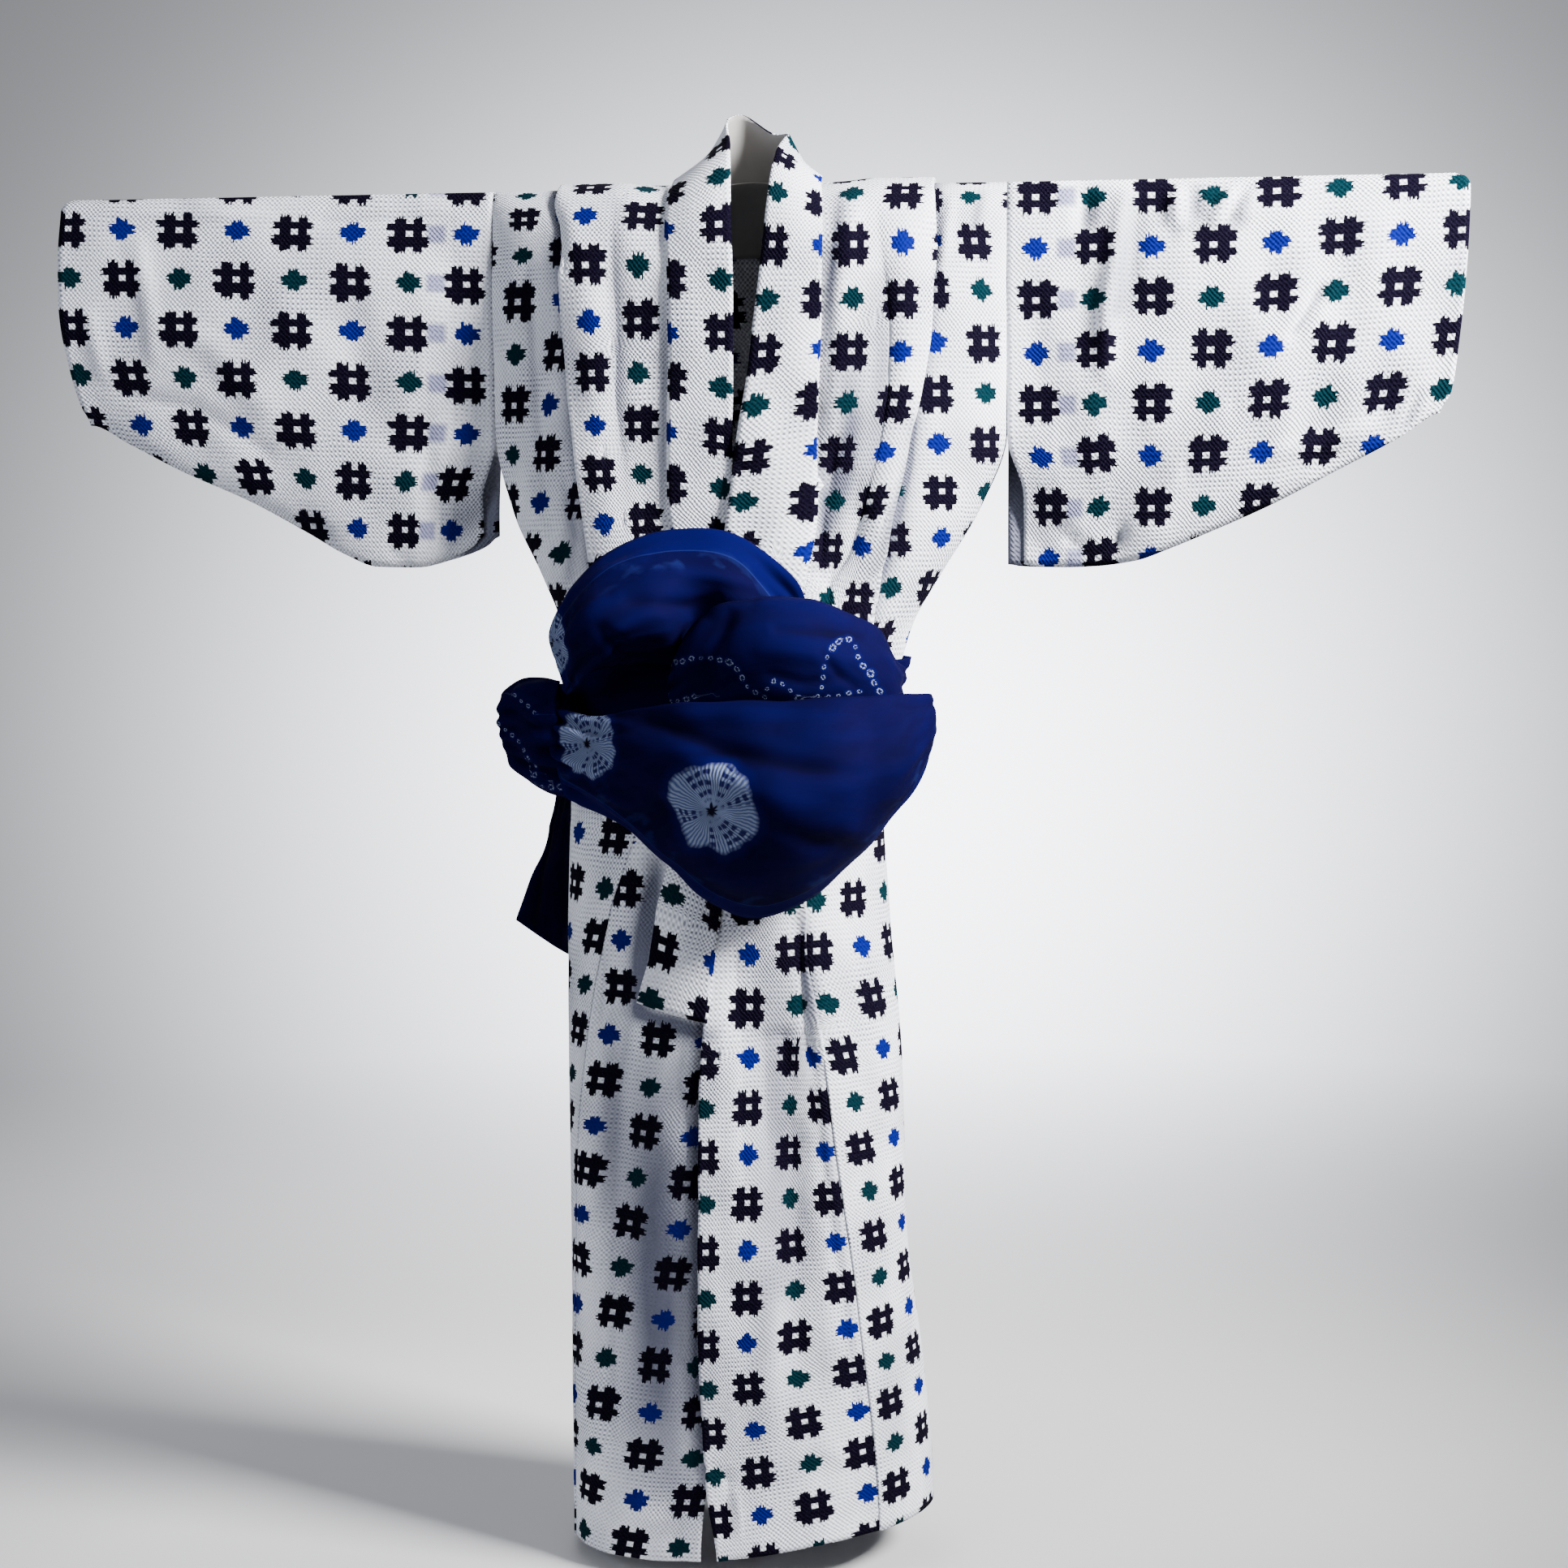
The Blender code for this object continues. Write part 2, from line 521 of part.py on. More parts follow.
# Each row is one section of a loop of the bow, from the knot out over its front and back behind it.
LOOP_UPPER = [
    Loop(-0.158, -0.106, -0.457, -0.162, -0.114, -0.461, -0.158, -0.108, -0.467),
    Loop(-0.166, -0.128, -0.425, -0.158, -0.148, -0.437, -0.140, -0.142, -0.454),
    Loop(-0.165, -0.140, -0.401, -0.145, -0.178, -0.419, -0.115, -0.172, -0.432),
    Loop(-0.148, -0.142, -0.366, -0.116, -0.196, -0.395, -0.088, -0.188, -0.415),
    Loop(-0.105, -0.136, -0.333, -0.073, -0.188, -0.371, -0.057, -0.176, -0.407),
    Loop(-0.057, -0.128, -0.318, -0.037, -0.160, -0.360, -0.037, -0.136, -0.401),
    Loop(-0.001, -0.124, -0.322, 0.002, -0.152, -0.361, -0.003, -0.144, -0.399),
    Loop(0.040, -0.122, -0.350, 0.031, -0.132, -0.378, 0.024, -0.134, -0.405),
    Loop(0.062, -0.119, -0.381, 0.049, -0.122, -0.402, 0.042, -0.124, -0.426),
    resting((28.0, -0.444), (26.0, -0.458), (24.0, -0.472)),
]
LOOP_RIGHT = [
    resting((-15.0, -0.446), (-15.0, -0.462), (-15.0, -0.478)),
    Loop(-0.051, -0.140, -0.425, -0.054, -0.152, -0.452, -0.052, -0.146, -0.484),
    Loop(-0.019, -0.160, -0.386, -0.015, -0.182, -0.427, -0.016, -0.164, -0.487),
    Loop(0.021, -0.164, -0.379, 0.028, -0.196, -0.419, 0.025, -0.170, -0.489),
    Loop(0.061, -0.158, -0.380, 0.069, -0.192, -0.423, 0.066, -0.168, -0.487),
    Loop(0.097, -0.142, -0.391, 0.105, -0.174, -0.435, 0.103, -0.156, -0.485),
    Loop(0.129, -0.112, -0.408, 0.135, -0.140, -0.447, 0.133, -0.132, -0.480),
    Loop(0.140, -0.078, -0.437, 0.145, -0.090, -0.455, 0.143, -0.092, -0.474),
    resting((78.0, -0.445), (78.0, -0.457), (78.0, -0.469)),
]
LOOP_LOWER = [
    Loop(-0.161, -0.104, -0.482, -0.166, -0.109, -0.518, -0.157, -0.098, -0.564),
    Loop(-0.126, -0.130, -0.485, -0.125, -0.150, -0.534, -0.122, -0.128, -0.575),
    Loop(-0.083, -0.158, -0.477, -0.079, -0.190, -0.541, -0.082, -0.146, -0.599),
    Loop(-0.028, -0.182, -0.471, -0.022, -0.226, -0.556, -0.030, -0.152, -0.648),
    Loop(0.031, -0.195, -0.468, 0.040, -0.244, -0.561, 0.017, -0.158, -0.666),
    Loop(0.085, -0.190, -0.466, 0.092, -0.236, -0.555, 0.071, -0.154, -0.645),
    Loop(0.130, -0.170, -0.466, 0.138, -0.206, -0.540, 0.121, -0.142, -0.600),
    Loop(0.160, -0.138, -0.465, 0.166, -0.160, -0.515, 0.159, -0.118, -0.552),
    Loop(0.175, -0.095, -0.470, 0.176, -0.100, -0.495, 0.170, -0.090, -0.522),
    resting((66.0, -0.496), (66.0, -0.516), (66.0, -0.538)),
]
KNOT_LOOP = [
    Loop(-0.167, -0.098, -0.454, -0.172, -0.108, -0.496, -0.160, -0.088, -0.564),
    Loop(-0.185, -0.092, -0.450, -0.193, -0.106, -0.496, -0.182, -0.084, -0.560),
    Loop(-0.209, -0.078, -0.455, -0.212, -0.086, -0.495, -0.203, -0.074, -0.549),
    Loop(-0.226, -0.062, -0.474, -0.229, -0.064, -0.494, -0.223, -0.060, -0.531),
    resting((-88.0, -0.482), (-88.0, -0.496), (-88.0, -0.516)),
]
TAIL = [
    resting((-118.0, -0.536), (-106.0, -0.536), (-94.0, -0.536)),
    Loop(-0.182, 0.070, -0.616, -0.190, 0.040, -0.612, -0.203, 0.012, -0.610),
    Loop(-0.185, 0.080, -0.665, -0.198, 0.046, -0.657, -0.218, 0.012, -0.649),
    Loop(-0.185, 0.086, -0.738, -0.197, 0.048, -0.725, -0.233, 0.010, -0.691),
]


def soft_sheet(name, table, steps, look):
    """A sheet whose sections bend through a top, a middle and a low place."""
    rows = []
    for row in table:
        top, middle, low = Vector(row[0:3]), Vector(row[3:6]), Vector(row[6:9])
        turn = 2 * middle - (top + low) / 2
        shares = [step / steps for step in range(steps + 1)]
        rows.append([(1 - t) ** 2 * top + 2 * t * (1 - t) * turn + t * t * low for t in shares])
    return cloth(name, rows, OBI_WALL, look)


def obi_band(look):
    """The part wound round the waist, clear of the tucks and the collar it holds."""
    around = 40
    levels = (OBI_TOP, mix(OBI_TOP, OBI_BOTTOM, 0.33), mix(OBI_TOP, OBI_BOTTOM, 0.67), OBI_BOTTOM)
    rows = [[on_band(2 * math.pi * n / around, z) for n in range(around)] for z in levels]
    return cloth("obi_band", rows, OBI_WALL, look, closed=True)


def obi_knot(look):
    """The knot: a soft lump from a coarse cage, seated on the wound part."""
    bpy.ops.mesh.primitive_uv_sphere_add(segments=10, ring_count=7, radius=1.0)
    knot = bpy.context.object
    knot.name = knot.data.name = "obi_knot"
    for vertex in knot.data.vertices:
        spot = vertex.co
        squeeze = 1 - 0.25 * spot.x * spot.x
        vertex.co = Vector((0.020 * spot.x, 0.025 * spot.y * squeeze, 0.036 * spot.z * squeeze))
    knot.location = KNOT
    knot.data.materials.append(look)
    knot.data.shade_smooth()
    for holder in list(knot.users_collection):
        holder.objects.unlink(knot)
    bpy.data.collections[NAME].objects.link(knot)
    return knot


# ---- the whole garment ---------------------------------------------------------------------------
def main():
    for old in list(bpy.data.objects):
        bpy.data.objects.remove(old, do_unlink=True)
    bpy.context.scene.collection.children.link(bpy.data.collections.new(NAME))
    printed = material("printed_cotton", (0.86, 0.86, 0.85), 0.9)
    plain = material("plain_cotton", (0.80, 0.81, 0.82), 0.9)
    dyed = material("dyed_obi_cloth", (0.01, 0.03, 0.32), 0.7)
    body_strip("body_left", 1, printed)
    body_strip("body_right", -1, printed)
    okumi("okumi_left", 1, printed)
    okumi("okumi_right", -1, printed)
    neck_patch(plain)
    collar(printed)
    sleeve("sleeve_left", 1, printed)
    sleeve("sleeve_right", -1, printed)
    obi_band(dyed)
    soft_sheet("obi_loop_upper", LOOP_UPPER, 4, dyed)
    soft_sheet("obi_loop_right", LOOP_RIGHT, 4, dyed)
    soft_sheet("obi_loop_lower", LOOP_LOWER, 6, dyed)
    soft_sheet("obi_knot_loop", KNOT_LOOP, 4, dyed)
    soft_sheet("obi_tail", TAIL, 4, dyed)
    obi_knot(dyed)


main()
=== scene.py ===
# %% [markdown]
# # A cotton yukata with its soft obi
# A yukata is a summer robe of crinkled cotton, cut from one narrow bolt: two long strips that run up the
# front, over the shoulder and down the back, two front panels, a doubled collar and two folded sleeves. A
# soft dyed obi is wound round the waist and tied in a loose bow. The measured model gives the form of every
# piece. Here each piece is woven again as a fine thin sheet on that same form, then printed and creased.

import math
from collections import namedtuple
from functools import reduce

import bmesh
import bpy
import numpy as np
from mathutils import Matrix, Vector


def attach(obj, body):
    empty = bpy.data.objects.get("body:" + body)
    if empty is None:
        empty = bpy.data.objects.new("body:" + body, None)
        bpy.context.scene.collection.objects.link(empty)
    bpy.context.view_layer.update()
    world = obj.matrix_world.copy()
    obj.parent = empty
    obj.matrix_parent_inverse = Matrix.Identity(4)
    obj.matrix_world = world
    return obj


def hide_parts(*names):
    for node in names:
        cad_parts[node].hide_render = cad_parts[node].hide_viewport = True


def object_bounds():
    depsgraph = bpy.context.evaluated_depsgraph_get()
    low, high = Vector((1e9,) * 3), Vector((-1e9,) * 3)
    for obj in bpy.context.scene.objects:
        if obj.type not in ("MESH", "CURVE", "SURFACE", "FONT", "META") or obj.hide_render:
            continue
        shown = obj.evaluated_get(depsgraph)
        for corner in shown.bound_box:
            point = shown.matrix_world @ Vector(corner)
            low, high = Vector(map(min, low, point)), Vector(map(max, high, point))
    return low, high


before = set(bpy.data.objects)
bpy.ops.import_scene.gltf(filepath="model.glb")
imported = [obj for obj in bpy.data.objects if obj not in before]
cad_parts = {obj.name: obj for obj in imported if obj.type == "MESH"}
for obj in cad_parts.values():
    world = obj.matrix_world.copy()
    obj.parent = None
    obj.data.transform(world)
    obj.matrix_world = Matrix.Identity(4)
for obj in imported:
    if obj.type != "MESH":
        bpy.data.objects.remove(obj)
CAD_BOX = [list(corner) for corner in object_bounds()]
print("pieces to dress:", ", ".join(sorted(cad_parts)))

# %% [markdown]
# ## Camera, light and floor
# The camera comes first, so every later look is judged from the same place. A long lens a little below the
# shoulders keeps the wide sleeves straight. Cloth shows its creases best in a large soft light from one side,
# with a weaker one opposite. The floor fades out with distance, so no edge of it crosses behind the robe.

# %% Camera
EYE = Vector((0.3213, -2.7817, -0.3204))
LOOKS_ALONG = Vector((-0.10415, 0.99095, -0.08473))
ROLL = math.radians(-0.45)
LENS_DEGREES = 29.66

view = bpy.data.cameras.new("view")
view.angle = math.radians(LENS_DEGREES)
view.clip_start, view.clip_end = 0.05, 60
camera = bpy.data.objects.new("camera", view)
bpy.context.scene.collection.objects.link(camera)
turn = LOOKS_ALONG.to_track_quat("-Z", "Y").to_matrix() @ Matrix.Rotation(ROLL, 3, "Z")
camera.matrix_world = Matrix.Translation(EYE) @ turn.to_4x4()
bpy.context.scene.camera = camera

# %% Lights and room
Lamp = namedtuple("Lamp", "name place aim size watts spread colour")
LAMPS = [
    Lamp("window", (2.0, -0.90, 0.9), (0.60, 0.0, -0.05), 0.8, 65, 60, (1.0, 0.99, 0.98)),
    Lamp("fill", (-2.4, -2.4, 0.4), (0.0, 0.0, -0.3), 2.0, 55, 180, (0.86, 0.90, 1.0)),
    Lamp("back", (-0.8, 2.6, 1.2), (0.0, 0.0, -0.4), 2.0, 40, 180, (0.96, 0.98, 1.0)),
]

for lamp in LAMPS:
    light = bpy.data.lights.new(lamp.name, "AREA")
    light.size, light.energy, light.color = lamp.size, lamp.watts, lamp.colour
    light.spread = math.radians(lamp.spread)
    holder = bpy.data.objects.new(lamp.name, light)
    holder.location = lamp.place
    holder.rotation_euler = (Vector(lamp.aim) - Vector(lamp.place)).to_track_quat("-Z", "Y").to_euler()
    bpy.context.scene.collection.objects.link(holder)
print(f"{len(LAMPS)} lamps")

# %% [markdown]
# ## Writing finishes as sums
# A finish is a drawing worked out at every point of the cloth. Joining nodes by hand hides the thought, so a
# small class wraps a socket and lets the sums be written as sums. Each sum adds its own Math node.


# %% A socket that can be summed
class Wire:
    def __init__(self, look, socket):
        self.look, self.socket = look, socket

    def sum(self, operation, *others, clamp=False):
        settings = {"operation": operation, "use_clamp": clamp}
        return self.look.node("ShaderNodeMath", settings, self, *others)

    def __add__(self, other):
        return self.sum("ADD", other)

    def __sub__(self, other):
        return self.sum("SUBTRACT", other)

    def __mul__(self, other):
        return self.sum("MULTIPLY", other)

    def __truediv__(self, other):
        return self.sum("DIVIDE", other)

    def __rsub__(self, other):
        return self.look.node("ShaderNodeMath", {"operation": "SUBTRACT"}, other, self)

    def __abs__(self):
        return self.sum("ABSOLUTE")

    __radd__, __rmul__ = __add__, __mul__

    def above(self, edge, soft):
        """1 where this is above the edge, 0 below, over a soft step."""
        return ((self - edge) / soft).sum("ADD", 0.5, clamp=True)

    def inside(self, low, high, soft):
        return self.above(low, soft) * (1 - self.above(high, soft))


class Drawing:
    """Nodes being joined in one tree."""

    def __init__(self, tree, shader):
        self.tree, self.shader = tree, tree.nodes[shader]

    def node(self, kind, settings, *values, out=0, **named):
        """Any node: its settings first, then what goes into its sockets, by place or by name."""
        made = self.tree.nodes.new(kind)
        for name, value in settings.items():
            setattr(made, name, value)
        for key, value in [*enumerate(values), *named.items()]:
            self.feed(made.inputs[key], value)
        return Wire(self, made.outputs[out])

    def feed(self, socket, value):
        if isinstance(value, Wire):
            self.tree.links.new(value.socket, socket)
        else:
            socket.default_value = value

    def set(self, socket, value):
        self.feed(self.shader.inputs[socket], value)

    def map(self, name):
        """The two coordinates of one of the cloth's maps."""
        return self.split(self.node("ShaderNodeUVMap", {"uv_map": name}))

    def split(self, vector):
        parts = self.node("ShaderNodeSeparateXYZ", {}, vector)
        return parts, Wire(self, parts.socket.node.outputs[1])

    def point(self, x, y=0.0, z=0.0):
        return self.node("ShaderNodeCombineXYZ", {}, x, y, z)

    def chance(self, x, y=0.0, z=0.0):
        """A number between 0 and 1 that belongs to this place alone."""
        return self.node("ShaderNodeTexWhiteNoise", {"noise_dimensions": "3D"}, self.point(x, y, z))

    def cloud(self, x, y, scale, detail=2.0, z=0.0):
        """Soft noise between 0 and 1."""
        return self.node("ShaderNodeTexNoise", {}, self.point(x, y, z), Scale=scale, Detail=detail)

    def tint(self, mask, under, over):
        """The colour over, laid on the colour under where the mask is 1."""
        made = self.tree.nodes.new("ShaderNodeMix")
        made.data_type = "RGBA"
        for key, value in ((0, mask), (6, under), (7, over)):
            if isinstance(value, tuple):
                value = (*value, 1.0)
            self.feed(made.inputs[key], value)
        return Wire(self, made.outputs[2])

    def bump(self, height, distance, strength):
        return self.node("ShaderNodeBump", {}, Height=height, Distance=distance, Strength=strength)


class Look(Drawing):
    """A material being drawn."""

    def __init__(self, name, **fixed):
        self.material = bpy.data.materials.new(name)
        self.material.use_nodes = True
        super().__init__(self.material.node_tree, "Principled BSDF")
        for socket, value in fixed.items():
            self.shader.inputs[socket.replace("_", " ")].default_value = value


def nearest(value):
    return (value + 0.5).sum("FLOOR")


def either(a, b):
    return a.sum("MAXIMUM", b)


# %% Room
ROOM, ROOM_STRENGTH = (0.92, 0.94, 1.0), 0.24
LIT_WALL, WALL_GLOW, WALL_FADES = (-0.075, 0.994, -0.075), 6.8, 0.0145  # the bright part of the far wall

room = bpy.data.worlds.new("room")
room.use_nodes = True
walls = Drawing(room.node_tree, "Background")
walls.set("Color", (*ROOM, 1))
direction = walls.node("ShaderNodeTexCoord", {})
towards = walls.node("ShaderNodeVectorMath", {"operation": "DOT_PRODUCT"}, direction, LIT_WALL, out=1)
glow = ((towards - 1) / WALL_FADES).sum("EXPONENT")
walls.set("Strength", glow * WALL_GLOW + ROOM_STRENGTH)
bpy.context.scene.world = room

# %% Floor
FLOOR_DROP = 0.012  # the hem hangs this far above the floor
FLOOR_CLEAR, FLOOR_GONE = 0.6, 2.8  # it fades out between these distances
FLOOR_GREY = (0.56, 0.56, 0.57, 1)


def round_floor(height):
    mesh = bpy.data.meshes.new("floor")
    build = bmesh.new()
    bmesh.ops.create_circle(build, cap_ends=True, segments=96, radius=FLOOR_GONE + 0.2)
    build.to_mesh(mesh)
    build.free()
    floor = bpy.data.objects.new("floor", mesh)
    floor.location.z = height
    bpy.context.scene.collection.objects.link(floor)
    return floor


floor_look = Look("pale_floor", Roughness=0.95)
floor_look.set("Base Color", FLOOR_GREY)
across, along = floor_look.split(floor_look.node("ShaderNodeTexCoord", {}, out=3))
reach = (across * across + along * along).sum("SQRT")
floor_look.set("Alpha", 1 - ((reach - FLOOR_CLEAR) / (FLOOR_GONE - FLOOR_CLEAR)).sum("ADD", 0, clamp=True))
floor = round_floor(CAD_BOX[0][2] - FLOOR_DROP)
floor.data.materials.append(floor_look.material)

# %% [markdown]
# ## The hollow form
# Every piece of the robe lies on one hollow form: level rings whose front and back close over the shoulders.
# A place on it is an angle round the ring and a length of cloth from the shoulder line, negative in front.
# The same tables and the same few functions as in the measured model are repeated here, so each new sheet
# lies where its piece does. Only the seam of the over panel runs a few mm further out, low on the skirt. They
# work on whole arrays at once, since the fine sheets have a hundred times as many places.

# %% Sizes and tables of the form
WALL, BAND_WALL, OBI_WALL, SEAM_GAP, LAYER = 0.0015, 0.0022, 0.0012, 0.0008, 0.0028
SHOULDER_ROUND, ARMHOLE, SLEEVE_START = 0.090, 0.229, 0.2410
HEM, HEM_RISE, TUCK_HIDES, NECK_RISE, NECK_WIDE = -1.283, 0.040, 0.042, 0.016, 0.055
FRONT, BACK = -1, 1

Section = namedtuple("Section", "z right left front back open power")
SECTIONS = [
    Section(0.000, -0.2400, 0.2400, 0.086, 0.080, 0.017, 1.5),
    Section(-0.120, -0.2400, 0.2400, 0.092, 0.084, 0.019, 1.5),
    Section(-0.229, -0.2390, 0.2395, 0.097, 0.086, 0.016, 1.4),
    Section(-0.300, -0.2240, 0.2140, 0.099, 0.086, 0.010, 1.2),
    Section(-0.360, -0.1980, 0.1780, 0.100, 0.086, 0.004, 1.05),
    Section(-0.410, -0.1800, 0.1500, 0.100, 0.086, 0.000, 1.0),
    Section(-0.490, -0.1700, 0.1300, 0.100, 0.086, 0.000, 1.0),
    Section(-0.560, -0.1730, 0.1220, 0.104, 0.090, 0.000, 1.0),
    Section(-0.680, -0.1780, 0.1280, 0.114, 0.104, 0.000, 1.0),
    Section(-0.820, -0.1800, 0.1390, 0.120, 0.114, 0.000, 1.0),
    Section(-1.000, -0.1800, 0.1430, 0.125, 0.124, 0.000, 1.0),
    Section(-1.140, -0.1800, 0.1580, 0.130, 0.130, 0.000, 1.0),
    Section(-1.290, -0.1790, 0.1680, 0.134, 0.134, 0.000, 1.0),
]
Fold = namedtuple("Fold", "side x_top z_top x_bottom z_bottom wide deep")
FOLDS = [
    Fold(FRONT, 0.032, -0.690, 0.052, -1.200, 0.020, -0.011),
    Fold(FRONT, -0.122, -0.620, -0.105, -1.150, 0.020, -0.006),
    Fold(BACK, -0.125, -0.600, -0.135, -1.500, 0.024, 0.010),
    Fold(BACK, -0.072, -0.580, -0.080, -1.500, 0.024, -0.015),
    Fold(BACK, -0.020, -0.600, -0.022, -1.500, 0.028, 0.010),
    Fold(BACK, 0.040, -0.580, 0.046, -1.500, 0.024, -0.014),
    Fold(BACK, 0.090, -0.600, 0.100, -1.500, 0.024, 0.010),
]
Crease = namedtuple("Crease", "side path wide deep")


def creases(side, rows, per=1000):
    """Creases on one side, from rows in mm: how wide to each side, how deep (out of the cloth, or in if
    negative), and then each (x, z) that the crease runs through."""
    return [Crease(side, [(x / 1000, z / 1000) for x, z in path], wide / 1000, deep / per)
            for wide, deep, *path in rows]


CREASES = creases(FRONT, [
    (13, 2.9, (-140, -55), (-132, -167), (-122, -248)),
    (18, -4.3, (-82, -153), (-82, -249), (-89, -308)),
    (9, -3.2, (-202, -72), (-198, -164), (-195, -252)),
    (7, -6.5, (-184, -7), (-167, -39), (-158, -81)),
    (9, 4.3, (100, -9), (101, -45), (96, -86)),
    (14, 4.3, (149, -16), (149, -148), (143, -222)),
    (8, -6.5, (178, -11), (175, -52), (171, -97)),
    (5, 3.6, (192, -13), (186, -59), (181, -89)),
    (7, -5.8, (88, -236), (76, -304), (69, -366)),
    (8, -7.2, (115, -295), (100, -341), (74, -379)),
    (5, 2.9, (87, -387), (115, -396), (143, -390)),
    (8, -4.3, (-170, -247), (-163, -307), (-169, -352)),
    (7, 3.6, (-212, -246), (-193, -307), (-179, -352)),
    (15, -7.2, (-75, -596), (-79, -650), (-87, -710)),
    (16, 4.3, (-143, -945), (-157, -1081), (-156, -1198)),
    (18, -5.1, (5, -672), (7, -782), (11, -886)),
    (7, -4.3, (51, -674), (56, -767), (72, -832)),
    (13, -4.3, (44, -860), (47, -936), (51, -1011)),
    (16, 3.6, (26, -994), (19, -1098), (22, -1196)),
    (3.2, 3.2, (-9, -1205), (-5, -1264)),
    (5, -2.9, (-36, -1192), (-19, -1202), (-6, -1218)),
    (8, 2.9, (62, -1183), (91, -1205), (116, -1206)),
    (8, 2.6, (-162, -1249), (-99, -1244), (-51, -1244)),
    (13, -3.6, (92, -697), (99, -803), (113, -896)),
    (12, -4.3, (123, -718), (130, -833), (132, -963)),
    (12, -5.1, (140, -968), (148, -1081), (152, -1194)),
    (2.2, -1.4, (-176, -1262), (-110, -1263), (-38, -1262)),
    (2.2, -1.4, (-22, -1262), (60, -1262), (160, -1262)),
    (4.5, 3.4, (66, -780), (79, -907), (96, -1052), (108, -1180)),
    (4.5, 3, (-132, -690), (-152, -800), (-164, -908), (-168, -1050)),
]) + creases(BACK, [
    (8, -5.1, (-150, -10), (-146, -150), (-138, -300), (-120, -420)),
    (9, -5.1, (148, -10), (150, -140), (136, -300), (105, -420)),
    (16, -3.6, (-60, -50), (-66, -200), (-52, -420)),
    (18, -4.3, (70, -60), (62, -230), (50, -420)),
    (10, 4.3, (-200, -160), (-170, -280), (-150, -390)),
    (10, 4.3, (205, -150), (170, -280), (120, -390)),
    (8, -5.1, (-110, -600), (-118, -720), (-112, -850)),
    (7, -5.1, (12, -590), (18, -700), (10, -820)),
    (14, 3.6, (80, -980), (84, -1100), (78, -1220)),
])

# A pressed fold is the same, but comes to an edge along its path.
PRESSED = creases(FRONT, [
    (22, -7, (-119, -13), (-115, -79), (-112, -153), (-115, -197), (-107, -249), (-102, -308)),
    (20, -5, (-204, -52), (-198, -149), (-191, -247), (-183, -292)),
    (20, 6, (92, -17), (92, -83), (89, -170), (83, -251), (75, -316)),
    (14, -5, (122, -14), (131, -83), (137, -127), (134, -192), (121, -258), (108, -317), (87, -357)),
    (18, -7, (173, -18), (172, -82), (168, -148), (158, -207), (145, -266), (136, -310)),
    (12, -4, (195, -13), (189, -52), (183, -93)),
    (12, -5, (77, -60), (74, -170), (70, -280), (61, -346)),
    (12, -5, (109, -265), (97, -317), (71, -372)),
    (12, -4, (151, -302), (124, -350), (87, -383)),
    (26, -7, (-11, -668), (-4, -759), (-1, -872), (4, -985)),
    (20, -6, (41, -660), (49, -723), (57, -799), (64, -875)),
    (16, -4, (17, -745), (19, -835), (22, -926)),
    (50, -17, (-96, -670), (-104, -745), (-122, -850), (-130, -1000), (-128, -1150), (-124, -1230)),
    (16, -5, (-132, -683), (-135, -745), (-143, -830)),
]) + creases(BACK, [
    (20, -6, (-152, -20), (-150, -200), (-130, -380)),
    (20, -6, (155, -20), (152, -200), (118, -390)),
    (24, 5, (-70, -30), (-64, -220), (-50, -400)),
    (22, -5, (82, -50), (72, -220), (52, -400)),
    (20, -6, (-96, -580), (-100, -720), (-104, -900)),
    (20, 6, (20, -580), (22, -700), (26, -860)),
])
PRESSED_EDGE = 0.0020

# Painted shade: where cloth lies deep beside or under another layer, its colour is made greyer.
# In these rows a share from 0 to 1 stands for how deep the painted shade is.
SHADES = creases(FRONT, [
    (6.7, 0.45, (-112, -17), (-109, -131), (-108, -219), (-106, -308)),
    (4.4, 0.5, (-67, -102), (-68, -190), (-71, -308)),
    (6.7, 0.7, (90, -10), (90, -53), (84, -104), (81, -156)),
    (11, 0.5, (121, -83), (126, -156), (122, -236), (111, -309)),
    (12.6, 0.75, (96, -163), (101, -221), (91, -280), (76, -324), (66, -360)),
    (5.9, 0.5, (218, -6), (214, -30), (209, -59)),
    (8.9, 0.35, (153, -251), (145, -317), (130, -369)),
    (5.9, 0.45, (75, -207), (74, -280), (75, -353)),
    (6.7, 0.55, (154, -211), (152, -251), (131, -324), (109, -368)),
    (5.9, 0.5, (-162, -277), (-158, -322), (-166, -367)),
    (12, 0.95, (-76, -610), (-92, -690), (-105, -775)),
    (8.5, 0.95, (-106, -762), (-63, -772), (-20, -782)),
    (42, 0.75, (-76, -799), (-82, -898), (-82, -1011), (-76, -1230)),
    (10.4, 0.35, (-126, -751), (-131, -866), (-137, -974)),
    (20, 0.55, (20, -655), (28, -760), (32, -880), (34, -1040)),
    (6.7, 0.6, (51, -652), (57, -709), (68, -779)),
    (19.2, 0.2, (38, -996), (44, -1100), (51, -1220)),
    (13.3, 0.25, (127, -1065), (133, -1156), (131, -1225)),
], per=1)
TUCK_SHADE, TUCK_SHADE_WIDE = 0.70, 0.011  # painted shade beside the edge of a tuck, on the layer under it

Seam = namedtuple("Seam", "z x")


def seam_path(*rows):
    """Where a seam runs, from (z, x) in mm."""
    return [Seam(z / 1000, x / 1000) for z, x in rows]


